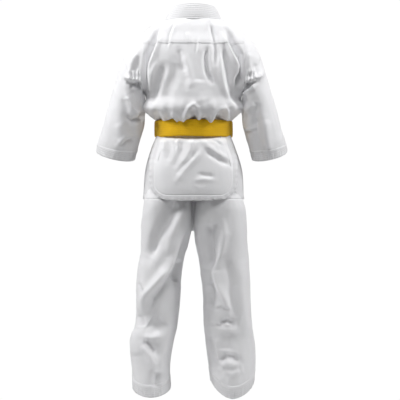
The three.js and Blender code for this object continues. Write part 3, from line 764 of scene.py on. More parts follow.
TORSO_FOLDS: tuple[Fold, ...] = (
    Fold(GROOVE, -11, 8, (
        (-84, -28), (-93, -47), (-102, -68), (-110, -86),
        (-117, -103), (-118, -130), (-115, -159), (-113, -189),
    )),
    Fold(RIDGE, 4.5, 7, ((-80, -33), (-87, -62), (-98, -95), (-108, -118), (-111, -147), (-111, -171))),
    Fold(GROOVE, -11, 8, (
        (80, -28), (92, -53), (104, -77), (115, -95),
        (120, -112), (119, -130), (111, -147), (107, -168),
    )),
    Fold(RIDGE, 4, 7, ((75, -36), (84, -62), (95, -89), (107, -112), (108, -130))),
    Fold(LAP, 1.3, 3, ((-45, -14), (-55, -42), (-59, -67))),
    Fold(RIDGE, 1.6, 4, ((-15, -36), (-11, -62))),
    Fold(LAP, 1.2, 3, ((11, -50), (8, -83))),
    Fold(GROOVE, -4.5, 7, ((41, -12), (48, -42), (52, -65), (53, -106))),
    Fold(RIDGE, 3.2, 9, ((-25, -89), (-15, -112), (-6, -145), (-8, -171))),
    Fold(GROOVE, -3, 8, ((-36, -74), (-28, -97), (-20, -130))),
    Fold(GROOVE, -6.5, 6, ((32, -74), (29, -97), (33, -130), (44, -153))),
    Fold(GROOVE, -7.5, 9, ((73, -72), (77, -97), (84, -130), (88, -156), (99, -186), (111, -203))),
    Fold(RIDGE, 3.5, 9, ((64, -83), (67, -130), (75, -168), (86, -197))),
    Fold(GROOVE, -6, 10, ((-71, -115), (-83, -147), (-93, -177), (-103, -203))),
    Fold(RIDGE, 3.5, 8, ((-90, -103), (-100, -142), (-105, -177), (-106, -200))),
    Fold(GROOVE, -3.5, 16, ((-43, -106), (-46, -142), (-61, -171), (-68, -200))),
    Fold(RIDGE, 3.5, 18, ((13, -147), (10, -177), (22, -206))),
    Fold(GROOVE, -9, 9, ((2, -252), (1, -231), (0, -215))),
    Fold(RIDGE, 4.2, 5, (
        (-25, -249), (-19, -231), (-11, -215), (0, -208),
        (8, -215), (12, -230), (12, -249),
    )),
    Fold(GROOVE, -6, 7, ((-50, -253), (-50, -239))),
    Fold(RIDGE, 3, 4.5, ((-59, -242), (-50, -231), (-42, -239), (-37, -252))),
    Fold(GROOVE, -8, 10, ((58, -247), (66, -233), (75, -222))),
    Fold(RIDGE, 4.2, 5, ((33, -250), (47, -233), (63, -219), (75, -215), (84, -224), (82, -244))),
    Fold(GROOVE, -5, 7, ((-78, -255), (-84, -239), (-93, -224))),
    Fold(GROOVE, -5, 8, ((25, -253), (23, -239))),
    Fold(GROOVE, -5, 8, ((94, -247), (92, -230), (88, -212))),
)

TAIL_FOLDS: tuple[Fold, ...] = (
    Fold(LAP, -2.4, 3.2, ((-36, -287), (-44, -297), (-40, -306), (-40, -314))),
    Fold(RIDGE, 3.4, 7, ((-3, -290), (-6, -312), (-14, -333), (-28, -350))),
    Fold(GROOVE, -3, 9, ((-25, -289), (-28, -315), (-43, -347), (-49, -362))),
    Fold(RIDGE, 3, 8, ((19, -321), (-5, -344), (-25, -365), (-40, -389))),
    Fold(GROOVE, -3.6, 9, ((4, -321), (-20, -350), (-40, -377))),
    Fold(RIDGE, 3.6, 7, ((25, -290), (33, -306), (54, -324), (80, -337))),
    Fold(GROOVE, -4.6, 7, ((33, -321), (51, -331), (66, -342), (86, -350))),
    Fold(LAP, -1.6, 3, ((44, -288), (55, -292), (67, -301))),
    Fold(RIDGE, 2.2, 5, ((-69, -294), (-73, -318))),
    Fold(GROOVE, -2.6, 9, ((-58, -290), (-56, -315), (-64, -342))),
    Fold(GROOVE, -2.2, 5, ((14, -374), (27, -377), (45, -379))),
    Fold(RIDGE, 1.6, 6, ((4, -389), (27, -386), (51, -389))),
    Fold(GROOVE, -2, 10, ((80, -297), (92, -321), (95, -347))),
    Fold(GROOVE, -2, 10, ((-84, -294), (-87, -321), (-90, -347))),
)

LEFT_LEG_FOLDS: tuple[Fold, ...] = (
    Fold(GROOVE, -8, 14, ((-40, -439), (-55, -468), (-73, -500), (-90, -530), (-93, -544), (-108, -574))),
    Fold(RIDGE, 4, 12, ((-20, -447), (-37, -489), (-52, -521), (-55, -541), (-67, -571))),
    Fold(RIDGE, 5, 12, ((-40, -565), (-58, -600), (-84, -633), (-108, -665), (-121, -694))),
    Fold(LAP, 5, 8, ((-110, -703), (-105, -671), (-87, -644), (-58, -606), (-40, -565), (-24, -524))),
    Fold(GROOVE, -7, 11, ((-25, -580), (-36, -606), (-43, -633))),
    Fold(GROOVE, -6, 20, ((-105, -724), (-87, -738), (-67, -724))),
    Fold(RIDGE, 3, 8, ((-122, -765), (-102, -768), (-78, -761))),
    Fold(GROOVE, -4, 9, ((-118, -772), (-105, -786), (-90, -803))),
    Fold(RIDGE, 4.5, 8, ((-120, -783), (-105, -812), (-89, -843))),
    Fold(GROOVE, -5, 10, ((-84, -844), (-87, -868), (-90, -888))),
    Fold(RIDGE, 3.5, 9, ((-55, -730), (-67, -771), (-77, -812), (-83, -841))),
    Fold(LAP, -1.2, 4, ((-130, -633), (-122, -647), (-112, -659))),
    Fold(RIDGE, 4, 14, ((-143, -747), (-140, -777), (-134, -812))),
    Fold(GROOVE, -3, 9, ((-131, -712), (-125, -741))),
)

RIGHT_LEG_FOLDS: tuple[Fold, ...] = (
    Fold(GROOVE, -13, 19, ((42, -492), (42, -518), (38, -565), (30, -605))),
    Fold(RIDGE, 5, 9, (
        (69, -489), (73, -518), (72, -524), (64, -565),
        (48, -603), (55, -638), (77, -680), (88, -700),
    )),
    Fold(GROOVE, -7, 12, ((38, -633), (42, -662), (33, -697))),
    Fold(LAP, 1.0, 3.5, ((50, -695), (67, -691), (87, -698))),
    Fold(LAP, 0.8, 3.5, ((30, -735), (60, -736), (98, -739))),
    Fold(GROOVE, -5, 8, ((63, -734), (80, -725), (99, -734))),
    Fold(GROOVE, -4, 13, ((79, -580), (88, -624), (92, -671), (98, -721))),
    Fold(GROOVE, -4, 18, ((86, -756), (86, -780), (83, -800))),
    Fold(GROOVE, -4, 7, ((63, -822), (79, -810), (99, -812), (111, -825))),
    Fold(RIDGE, 2.5, 7, ((66, -838), (80, -830), (98, -833))),
    Fold(RIDGE, 2.4, 6, ((73, -844), (91, -855), (111, -847))),
    Fold(RIDGE, 3.5, 12, ((119, -594), (116, -653), (122, -718), (130, -771))),
    Fold(GROOVE, -5, 10, ((35, -765), (41, -800), (50, -838))),
    Fold(RIDGE, 3.5, 9, ((52, -765), (55, -800), (63, -835))),
)

LEFT_SLEEVE_FOLDS: tuple[Fold, ...] = (
    Fold(LAP, 5.5, 5, ((-160, -146), (-148, -152), (-134, -151), (-120, -158))),
    Fold(RIDGE, 3, 3, ((-152, -124), (-149, -146))),
    Fold(RIDGE, 3, 2.6, ((-143, -126), (-141, -148))),
    Fold(RIDGE, 3, 2.6, ((-134, -124), (-134, -148))),
    Fold(RIDGE, 2.6, 2.4, ((-127, -128), (-128, -150))),
    Fold(RIDGE, 6, 7, ((-162, -186), (-147, -214), (-129, -235))),
    Fold(GROOVE, -7, 7, ((-164, -237), (-146, -245), (-130, -239), (-117, -224))),
    Fold(GROOVE, -5, 9, ((-153, -158), (-134, -162), (-116, -156))),
    Fold(RIDGE, 4, 9, ((-134, -83), (-146, -106), (-150, -130), (-156, -156))),
    Fold(GROOVE, -3, 7, ((-130, -89), (-137, -112), (-143, -130))),
    Fold(GROOVE, -4, 9, ((-146, -171), (-134, -195), (-128, -224))),
    Fold(GROOVE, -3.5, 12, ((-158, -244), (-146, -277), (-152, -312))),
    Fold(RIDGE, 3, 12, ((-181, -250), (-175, -283), (-181, -318))),
    Fold(LAP, -2, 4, ((-178, -303), (-164, -289), (-143, -287))),
    Fold(GROOVE, -3, 10, ((-164, -192), (-161, -215), (-161, -236))),
)

RIGHT_SLEEVE_FOLDS: tuple[Fold, ...] = (
    Fold(LAP, 5.5, 5, ((114, -160), (128, -152), (144, -150), (158, -142))),
    Fold(RIDGE, 3, 3, ((148, -122), (146, -146))),
    Fold(RIDGE, 3, 2.6, ((139, -124), (138, -148))),
    Fold(RIDGE, 3, 2.6, ((131, -122), (130, -149))),
    Fold(RIDGE, 2.6, 2.4, ((123, -126), (123, -152))),
    Fold(RIDGE, 6, 7, ((164, -131), (141, -165), (117, -182))),
    Fold(GROOVE, -7, 8, ((107, -171), (124, -168), (141, -159))),
    Fold(RIDGE, 4, 9, ((133, -83), (132, -109), (138, -133))),
    Fold(GROOVE, -3.5, 8, ((151, -106), (148, -130), (142, -153))),
    Fold(GROOVE, -5, 10, ((151, -200), (148, -230), (148, -259))),
    Fold(RIDGE, 3.5, 8, ((148, -205), (135, -214), (122, -224))),
    Fold(GROOVE, -6, 12, ((148, -239), (151, -271), (155, -309), (166, -339))),
    Fold(RIDGE, 4, 12, ((172, -242), (176, -283), (180, -321))),
    Fold(LAP, -1.8, 3, ((123, -268), (136, -269), (149, -267))),
    Fold(GROOVE, -3, 8, ((123, -189), (120, -215), (122, -244))),
)


# ---- The jacket ----------------------------------------------------------------------------------

JACKET_RINGS = np.array(
    [
        # drop, half width, half depth, squareness
        (0, 66, 52, 2.3),
        (14.3, 99, 59, 2.3),
        (34, 123, 66, 2.3),
        (57, 142, 76, 2.3),
        (114.5, 154, 86, 2.3),
        (160, 135, 89, 2.3),
        (184, 117, 92, 2.3),
        (221, 115, 93, 2.2),
        (236, 101, 86, 2.0),
        (246, 86, 74, 2.0),
        (283, 83, 70, 2.0),
    ]
)
SKIRT_RINGS = np.array(
    [(243, 84, 69, 2.0), (283, 91, 75, 2.0), (308, 101, 80, 2.1), (359, 116, 89, 2.3), (435, 122, 94, 2.3)]
)


@dataclass
class JacketShape:
    """The sections that the jacket's pieces are cut from, in millimetres.

    Attributes:
        rings: drop, half width, half depth and squareness of each section.
        side: where the sleeves are set in, either side of the middle.
    """

    rings: Array
    side: float = 122.2

    def section(self, drop: Array) -> tuple[Array, Array, Array]:
        """Half width, half depth and squareness at each drop, as columns."""
        values = smooth_track(self.rings[:, 0], self.rings[:, 1:], drop)
        return values[:, :1], values[:, 1:2], values[:, 2:3]

    def turn_at(self, x: Array, drop: Array) -> Array:
        """The angle from the middle at which each section reaches x."""
        width, _, square = self.section(drop)
        share = np.clip(np.abs(x) / width, 0.0, 1.0)
        return np.sign(x) * np.arcsin(share ** (square / 2))

    def back(self, turn: Array, drop: Array) -> Array:
        """Points of the back at angles from the middle, one row for each drop."""
        width, depth, square = self.section(drop)
        x, y = oval(turn, width, depth, square)
        return stack(x, y, -drop[:, None])

    def front(self, turn: Array, drop: Array) -> Array:
        """Points of the front at angles from the middle of the front."""
        points = self.back(turn, drop)
        points[..., 1] *= -1
        return points

    def front_point(self, x: Array, drop: Array, out: Array | float = 0.0) -> Array:
        """Points of the front at given x, moved forward by some way."""
        width, depth, square = (v[:, 0] for v in self.section(drop))
        share = np.clip(np.abs(x) / width, 0.0, 0.999)
        y = depth_at(share, depth, square)
        return stack(x, y + out, -drop)

    def armhole(self, turn: Array) -> tuple[Array, Array]:
        """The armhole's outline in the plane where the sleeve is set in.

        The outline is where the sections are as wide as that plane: at each height its depth is the
        section's own there.

        Args:
            turn: angles round the hole, from its top towards the back.

        Returns:
            The y and z of each point.
        """
        middle, half = (ARMHOLE_TOP + ARMHOLE_BOTTOM) / 2, (ARMHOLE_BOTTOM - ARMHOLE_TOP) / 2
        drop = middle - half * np.cos(turn)
        width, depth, square = (v[:, 0] for v in self.section(drop))
        share = np.clip(self.side / width, 0.0, 1.0)
        reach = depth_at(share, depth, square)
        return -np.sign(np.sin(turn)) * reach, -drop


def dress(obj: bpy.types.Object, material: bpy.types.Material, slot: str, *nodes: str) -> bpy.types.Object:
    """Gives a piece its material, and hides the frame pieces that it stands for."""
    obj.data.materials.clear()
    obj.data.materials.append(material)
    if nodes:
        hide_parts(*nodes)
    log.info("%s: %d faces", obj.name, len(obj.data.polygons))
    return obj


def quilting(share: Array) -> Array:
    """The ridges that the collar's rows of stitches raise, at each share of the band's width."""
    return np.cos(share * 2 * math.pi * 7.5)


def side_name(side: int) -> str:
    """The word for a side of the wearer: right for 1 and left for -1."""
    return "right" if side > 0 else "left"


def distances(grid: Array, row: int) -> tuple[Array, Array]:
    """For each point of a grid, the length of cloth to one of its rows, and the length along that row."""
    steps = np.linalg.norm(np.diff(grid, axis=0), axis=-1)
    down = np.concatenate([np.zeros((1, grid.shape[1])), np.cumsum(steps, axis=0)])
    across = np.concatenate([[0.0], np.cumsum(np.linalg.norm(np.diff(grid[row], axis=0), axis=-1))])
    return np.abs(down - down[row]), np.broadcast_to(across, grid.shape[:2])


def band_distances(band: Array) -> tuple[Array, Array]:
    """For each point of a closed band, the length of cloth to its last row, and the length along that row."""
    away, run = distances(np.concatenate([band, band[:, :1]], axis=1), len(band) - 1)
    return away[:, :-1], run[:, :-1]


def roughened(points: Array, closed: bool, amount: float, seed: int) -> Array:
    """A cloth's own small unevenness: slow waves and a few soft creases, moved along its normals."""
    normals = normals_of(points, closed)
    wave = drift(points, (95, 95, 150), seed) * 0.7 + creases(points, (70, 70, 120), seed + 3) * 0.6
    fine = drift(points, (26, 26, 40), seed + 11) * 0.16
    return points + normals * ((wave + fine) * amount)[..., None]


@dataclass
class JacketBack:
    """The yoke and the back of the jacket, bloused over the belt.

    Attributes:
        shape: the jacket's sections.
        yoke: how far down the yoke reaches.
        bottom: how far down the back reaches under the belt.
        step: the size of the grid, in millimetres.
    """

    shape: JacketShape
    yoke: float = 57.0
    bottom: float = BODY_BOTTOM
    step: float = 2.0

    def surface(self) -> tuple[Array, Array]:
        """The whole back's folded surface and the drop of each row."""
        drop = np.linspace(0.0, self.bottom, int(self.bottom / self.step) + 1)
        share = np.linspace(-1.0, 1.0, 141)
        edge = self.shape.turn_at(np.full((len(drop), 1), self.shape.side), drop)
        points = self.shape.back(share[None, :] * edge, drop)
        normals = normals_of(points, False)
        calm = smooth_step(0.0, 0.06, 1 - np.abs(share))[None, :]
        slack = np.exp(-(((drop - BLOUSE_DROP) / 15) ** 2))[:, None]
        gather = np.sin(points[..., 0] * 0.155 + 0.8) * 0.6 + np.sin(points[..., 0] * 0.27 + 2.0) * 0.4
        relief = folded(points, normals, TORSO_FOLDS) * TORSO_RELIEF + slack * (3.0 + gather * 1.8)
        points = points + normals * (relief * calm)[..., None]
        # The slack cloth sags a little over the belt's top edge, in scallops.
        sag = np.exp(-(((drop - 238) / 11) ** 2))[:, None] * (3.0 + gather * 3.0)
        points[..., 2] -= sag * calm
        return roughened(points, False, 0.9, 5), drop

    def build(self, cotton: bpy.types.Material) -> list[bpy.types.Object]:
        """The yoke and the back panel, on the jacket's body."""
        points, drop = self.surface()
        seam = int(np.searchsorted(drop, self.yoke))
        yoke = points[: seam + 2]
        raised = 0.1 + 0.6 * smooth_step(92.0, 70.0, np.abs(yoke[..., 0]))
        yoke = yoke + normals_of(yoke, False) * raised[..., None]
        yoke_piece = Cloth("back_yoke_cloth", yoke, 1.2, hem=distances(yoke, seam + 1)).build()
        panel = points[seam - 2 :]
        panel_hem = distances(panel, 2)
        panel_piece = Cloth("back_panel_cloth", panel, 1.0, hem=(panel_hem[0] + 99, panel_hem[1])).build()
        dress(yoke_piece, cotton, "white_cotton", "back_yoke")
        dress(panel_piece, cotton, "white_cotton", "back_panel")
        for piece, cut in ((yoke_piece, (0.255, 0.085)), (panel_piece, (0.300, 0.262))):
            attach(piece, "jacket")
        return [yoke_piece, panel_piece]


@dataclass
class JacketFront:
    """One front of the jacket, from the side seam past the middle to its crossing edge.

    Attributes:
        shape: the jacket's sections.
        side: 1 for the right front and -1 for the left, which lies over it.
        layer: how far forward it lies where the fronts cross.
        neck: how far from the middle the edge starts at the neck.
        crossing: how far past the middle it lands at the belt.
        bottom: how far down it reaches under the belt.
    """

    shape: JacketShape
    side: int
    layer: float
    neck: float = 64.0
    crossing: float = 34.0
    bottom: float = BODY_BOTTOM

    def edge(self, drop: Array) -> Array:
        """The crossing edge's x at each drop."""
        return self.side * (self.neck - (self.neck + self.crossing) * drop / BELT_BOTTOM)

    def lie(self, x: Array, drop: Array) -> Array:
        """How far forward the front lies at each place: its layer, coming in from the side seam."""
        inward = smooth_step(110.0, 40.0, self.side * x) * smooth_step(10.0, 90.0, drop)
        return 0.6 + self.layer * inward

    def surface(self) -> tuple[Array, Array]:
        """The front's folded surface and the drop of each row."""
        drop = np.linspace(0.0, self.bottom, 142)
        share = np.linspace(0.0, 1.0, 91)[None, :]
        seam = self.shape.turn_at(np.full((len(drop), 1), self.side * self.shape.side), drop)
        edge = self.shape.turn_at(self.edge(drop)[:, None], drop)
        turn = seam + (edge - seam) * share
        points = self.shape.front(turn, drop)
        points[..., 1] += self.lie(points[..., 0], -points[..., 2])
        if self.side < 0:
            points = points[:, ::-1]
        normals = normals_of(points, False)
        calm = smooth_step(0.0, 0.06, share)
        calm = calm if self.side > 0 else calm[:, ::-1]
        # The left front lies over the right one, and its folds are lower and wider.
        folds = FRONT_FOLDS if self.side > 0 else mirrored_folds(FRONT_FOLDS, 0.6, 1.2)
        relief = folded(points, normals, folds, 1.0)
        slack = np.exp(-(((drop - BLOUSE_DROP) / 17) ** 2))[:, None]
        gather = np.sin(points[..., 0] * 0.15 + self.side) * 0.6 + np.sin(points[..., 0] * 0.24) * 0.4
        points = points + normals * ((relief + slack * (1.5 + gather)) * calm)[..., None]
        return roughened(points, False, 0.8, 21 + self.side), drop

    def build(self, cotton: bpy.types.Material) -> bpy.types.Object:
        """The front, on the jacket's body."""
        name = side_name(self.side)
        points, _ = self.surface()
        piece = Cloth(f"{name}_front_cloth", points, 1.0).build()
        dress(piece, cotton, "white_cotton", f"{name}_front")
        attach(piece, "jacket")
        return piece


FRONT_FOLDS: tuple[Fold, ...] = (
    Fold(GROOVE, -6, 9, ((96, -40), (104, -80), (108, -130), (104, -180))),
    Fold(RIDGE, 3.5, 9, ((84, -45), (92, -90), (96, -140), (92, -190))),
    Fold(GROOVE, -4, 10, ((78, -60), (82, -110), (78, -160), (64, -205))),
    Fold(RIDGE, 3, 9, ((100, -150), (84, -185), (60, -215), (40, -232))),
    Fold(GROOVE, -3.5, 8, ((104, -175), (86, -205), (66, -228))),
)


@dataclass
class CollarBand:
    """The quilted band that runs from the belt up one front, round the neck and down the other front.

    It is ruled between a sewn edge and a free edge. On a front the free edge is the front's crossing
    edge and the sewn one lies a band's width outside it; round the nape the sewn edge is the neck's
    section and the free edge stands above it and leans in.

    Attributes:
        fronts: the right front and the left front.
        width: the band's width.
        stand: how high it stands at the nape.
        thick: its thickness.
    """

    fronts: tuple[JacketFront, JacketFront]
    width: float = 41.0
    stand: float = 39.0
    thick: float = 3.4

    def _chest(self, front: JacketFront, drop: Array) -> tuple[Array, Array]:
        """The free and the sewn edge on one front at each drop."""
        run, fall = front.neck + front.crossing, BELT_BOTTOM
        length = math.hypot(run, fall)
        lift = 2.2
        x = front.edge(drop)
        free = front.shape.front_point(x, drop, front.lie(x, drop) + lift)
        out_x = x + front.side * self.width * fall / length
        out_drop = np.minimum(drop + self.width * run / length, BELT_BOTTOM)
        sewn = front.shape.front_point(out_x, out_drop, front.lie(out_x, out_drop) + lift)
        return free, sewn

    def surface(self) -> Array:
        """The band's outer face, columns along it and rows from the free edge to the sewn edge."""
        drops = np.array([BELT_BOTTOM, 250.0, 215.0, 180.0, 145.0, 110.0, 80.0, 52.0])
        right, left = self.fronts
        free_right, sewn_right = self._chest(right, drops)
        free_left, sewn_left = self._chest(left, drops)
        turn = np.radians([128.0, 104.0, 80.0, 55.0, 28.0, 0.0, -28.0, -55.0, -80.0, -104.0, -128.0])
        forward = np.clip(-np.cos(turn), 0, 1)
        sewn_nape = stack(68.0 * np.sin(turn), -53.5 * np.cos(turn), -1.0 - 26.0 * forward**1.2)
        rise = self.stand - 12.0 * (1 - np.cos(turn)) - 8.0 * forward
        free_nape = stack(54.0 * np.sin(turn), -43.0 * np.cos(turn), rise - 1.0)
        free = np.concatenate([free_right, free_nape, free_left[::-1]])
        sewn = np.concatenate([sewn_right, sewn_nape, sewn_left[::-1]])
        spots = np.concatenate([[0.0], np.cumsum(np.linalg.norm(np.diff((free + sewn) / 2, axis=0), axis=1))])
        along = np.linspace(0.0, spots[-1], 520)
        free, sewn = smooth_track(spots, free, along), smooth_track(spots, sewn, along)
        share = np.linspace(0.0, 1.0, 25)[:, None, None]
        points = free[None] * (1 - share) + sewn[None] * share
        points = points[:, ::-1]
        normals = normals_of(points, False)
        bulge = np.sin(np.pi * share) * 1.6
        row = quilting(share) * 0.45
        return points + normals * (bulge + row)

    def build(self, quilted: bpy.types.Material) -> list[bpy.types.Object]:
        """The band in one piece, whose ends hide under the belt."""
        points = self.surface()
        hem = distances(points, 0)
        piece = Cloth("collar_band_cloth", points, self.thick, hem=hem).build()
        dress(piece, quilted, "quilted_collar", "collar_band", "right_lapel", "left_lapel")
        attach(piece, "jacket")
        return [piece]


@dataclass
class Skirts:
    """The jacket below the belt: the back tail with its rounded corners, and two crossed front skirts.

    Attributes:
        shape: the skirt's sections.
        hem: how far down the skirts reach.
        top_half: half the tail's width under the belt.
        tail_half: half the tail's width near the hem.
        corner: the radius of the tail's corners.
    """

    shape: JacketShape
    hem: float = 435.0
    top_half: float = 86.0
    tail_half: float = 106.0
    corner: float = 45.0

    def flare(self, x: Array, side: int, drop: Array) -> Array:
        """How far a front skirt waves outwards at each place, more towards its hem."""
        return np.sin(x * 0.07 + side * 0.9) * smooth_step(300, 435, drop)[:, None] * 2.2

    def tail_half_at(self, drop: Array) -> Array:
        """Half the tail's width at each drop: it widens to its full width, then turns its corners."""
        wide = self.top_half + (self.tail_half - self.top_half) * smooth_step(SKIRT_TOP, 350, drop)
        below = np.clip(drop - (self.hem - self.corner), 0.0, self.corner)
        return wide - self.corner + np.sqrt(np.maximum(self.corner**2 - below**2, 0.0))

    def edge_distance(self, x: Array, drop: Array, half: Array) -> tuple[Array, Array]:
        """How far each place is from the tail's edge, and the length along the edge."""
        across, down = np.abs(x), self.hem - drop
        in_x, in_z = across - (half - self.corner), self.corner - down
        round_corner = (in_x > 0) & (in_z > 0)
        plain = np.minimum(half - across, down)
        distance = np.where(round_corner, self.corner - np.hypot(in_x, in_z), plain)
        sideways = half - across < down
        turn = np.arctan2(np.clip(in_z, 0, None), np.clip(in_x, 1e-6, None)) * self.corner
        run = np.where(round_corner, 200 - turn, np.where(sideways, 200 + down, across))
        return np.clip(distance, 0.0, None), run

    def tail(self, cotton: bpy.types.Material) -> bpy.types.Object:
        """The back tail, from its hidden top edge under the belt down to the hem."""
        curve = self.corner * np.sin(np.linspace(0.02, 1.5, 34))
        drop = np.concatenate([np.linspace(SKIRT_TOP, 390, 66), self.hem - self.corner + curve])
        half = self.tail_half_at(drop)[:, None]
        share = np.linspace(-1, 1, 121)[None, :]
        x = share * half
        width, depth, square = self.shape.section(drop)
        reach = depth_at(np.clip(np.abs(x) / (width + 4), 0, 1), depth, square)
        tucked = 8.0 * (1 - smooth_step(281, 299, drop))[:, None]
        under = 4.0 * smooth_step(396, 437, drop)[:, None] ** 2
        points = stack(x, -reach - 1.0 + tucked + under, -drop[:, None])
        normals = normals_of(points, False)
        edge_half = np.where(drop[:, None] > 350, self.tail_half, half + 0 * x)
        away, run = self.edge_distance(x, drop[:, None], edge_half)
        relief = TAIL_RELIEF * folded(points, normals, TAIL_FOLDS)
        ease = smooth_step(BELT_BOTTOM, 300, drop)[:, None]
        border = 1.3 * smooth_step(10.5, 9.0, away) - 1.0 * np.exp(-(((away - 10.4) / 1.5) ** 2))
        pucker = np.sin(run * 0.42) * np.exp(-((away / 7.0) ** 2)) * 0.5
        pucker = pucker * smooth_step(300, 330, drop)[:, None]
        points = points + normals * (relief * ease + border + pucker)[..., None]
        points = roughened(points, False, 0.9, 33)
        piece = Cloth("back_tail_cloth", points, 1.5, hem=(away, run)).build()
        dress(piece, cotton, "white_cotton", "back_tail")
        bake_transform(piece)
        return piece

    def front(self, side: int, cotton: bpy.types.Material) -> bpy.types.Object:
        """One front skirt, from behind the side line across the middle to its straight edge."""
        name = side_name(side)
        drop = np.linspace(SKIRT_TOP, self.hem - 1.0, 88)
        share = np.linspace(0, 1, 151)[None, :]
        start = np.radians(138.0) + np.radians(-4.0) * (drop[:, None] - BELT_BOTTOM) / 152
        lands = 34.0 * np.ones((len(drop), 1))
        end = -self.shape.turn_at(lands, drop)
        turn = side * (start + (end - start) * share)
        points = self.shape.front(turn, drop)
        over = 2.2 if side > 0 else 5.2
        middle = smooth_step(95.0, 45.0, side * points[..., 0])
        points[..., 1] += (0.4 + over * middle) * smooth_step(BELT_BOTTOM, 300, drop)[:, None] + 0.6
        points[..., 1] += 3.5 * smooth_step(-20.0, -55.0, points[..., 1])
        inner = np.clip(1 - share * 260 / self.corner, 0, 1)
        risen = 1 - self.corner * (1 - np.sqrt(1 - inner**2)) / (self.hem - SKIRT_TOP)
        points[..., 2] = -SKIRT_TOP + (points[..., 2] + SKIRT_TOP) * risen
        if side < 0:
            points = points[:, ::-1]
        normals = normals_of(points, False)
        edges = np.minimum(share, 1 - share) * 260
        edges = edges if side > 0 else edges[:, ::-1]
        down = (self.hem - 1.0 - drop)[:, None]
        away = np.minimum(edges, down + 0 * edges)
        run = np.where(down < edges, points[..., 0], -drop[:, None] + 0 * edges)
        flare = self.flare(points[..., 0], side, drop)
        border = 0.8 * smooth_step(9.5, 8.0, away)
        points = points + normals * (flare + border)[..., None]
        points = roughened(points, False, 0.9, 40 + side)
        piece = Cloth(f"{name}_front_skirt_cloth", points, 1.3, hem=(away, run)).build()
        dress(piece, cotton, "white_cotton", f"{name}_front_skirt")
        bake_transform(piece)
        return piece

    def lapel_tail(self, side: int, quilted: bpy.types.Material) -> bpy.types.Object:
        """The quilted band's lower end, straight down the front skirt's edge."""
        name = side_name(side)
        drop = np.linspace(SKIRT_TOP, self.hem - 1.0, 88)
        across = np.linspace(-33.0, 8.0, 25)[None, :] * side
        if side < 0:
            across = across[:, ::-1]
        over = 3.4 if side > 0 else 6.4
        width, depth, square = self.shape.section(drop)
        reach = depth_at(np.clip(np.abs(across) / width, 0, 1), depth, square)
        lift = (1.0 + over) * smooth_step(BELT_BOTTOM, 300, drop)[:, None] + 1.6
        points = stack(across + 0 * reach, reach + lift, -drop[:, None])
        points = points[:, ::-1]
        normals = normals_of(points, False)
        share = np.linspace(0, 1, 25)[None, :]
        bulge = np.sin(np.pi * share) * 0.8 + quilting(share) * 0.16
        flare = self.flare(points[..., 0], side, drop)
        points = points + normals * (bulge + flare)[..., None]
        size = points.shape[:2]
        hem = (np.broadcast_to(share * 41.0, size), np.broadcast_to(drop[:, None], size))
        piece = Cloth(f"{name}_lapel_tail_cloth", points, 3.2, hem=hem).build()
        dress(piece, quilted, "quilted_collar", f"{name}_lapel_tail")
        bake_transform(piece)
        return piece


# ---- Sleeves -------------------------------------------------------------------------------------


def sample(grid: Array, row: Array, column: Array) -> Array:
    """A grid read between its points, weighting the four nearest by how close each is."""
    r = np.clip(np.floor(row).astype(int), 0, grid.shape[0] - 2)
    c = np.floor(column).astype(int)
    s, t = (row - r)[..., None], (column - c)[..., None]
    c0, c1 = c % grid.shape[1], (c + 1) % grid.shape[1]
    above = grid[r, c0] * (1 - t) + grid[r, c1] * t
    below = grid[r + 1, c0] * (1 - t) + grid[r + 1, c1] * t
    return above * (1 - s) + below * s


def hem_band(grid: Array, rows: int, lift: float, seed: int) -> Array:
    """The last rows of a tube as a turned-up hem: lifted off it, and puckered along its stitches."""
    points = grid[-rows:]
    normals = normals_of(points, True)
    share = np.linspace(0, 1, rows)[:, None]
    columns = np.arange(points.shape[1])[None, :] * 2 * math.pi / points.shape[1]
    rng = np.random.default_rng(seed)
    waves = np.zeros(points.shape[:2])
    for rate in (29, 43, 61, 87):
        phase = rng.random() * 6.28
        slant = share * rng.normal() * 2.5
        waves += np.sin(columns * rate + phase + slant) * (0.5 + rng.random())
    turned = np.sqrt(np.clip(1 - ((share - 0.94) / 0.06) ** 2, 0, 1))
    edge = np.where(share > 0.94, 1.6 * turned, 1.0)
    height = lift * smooth_step(0, 0.08, share) + waves * 0.24 * smooth_step(0.25, 0.8, share)
    return points + normals * (height + 0.5 * edge - 0.6)[..., None]


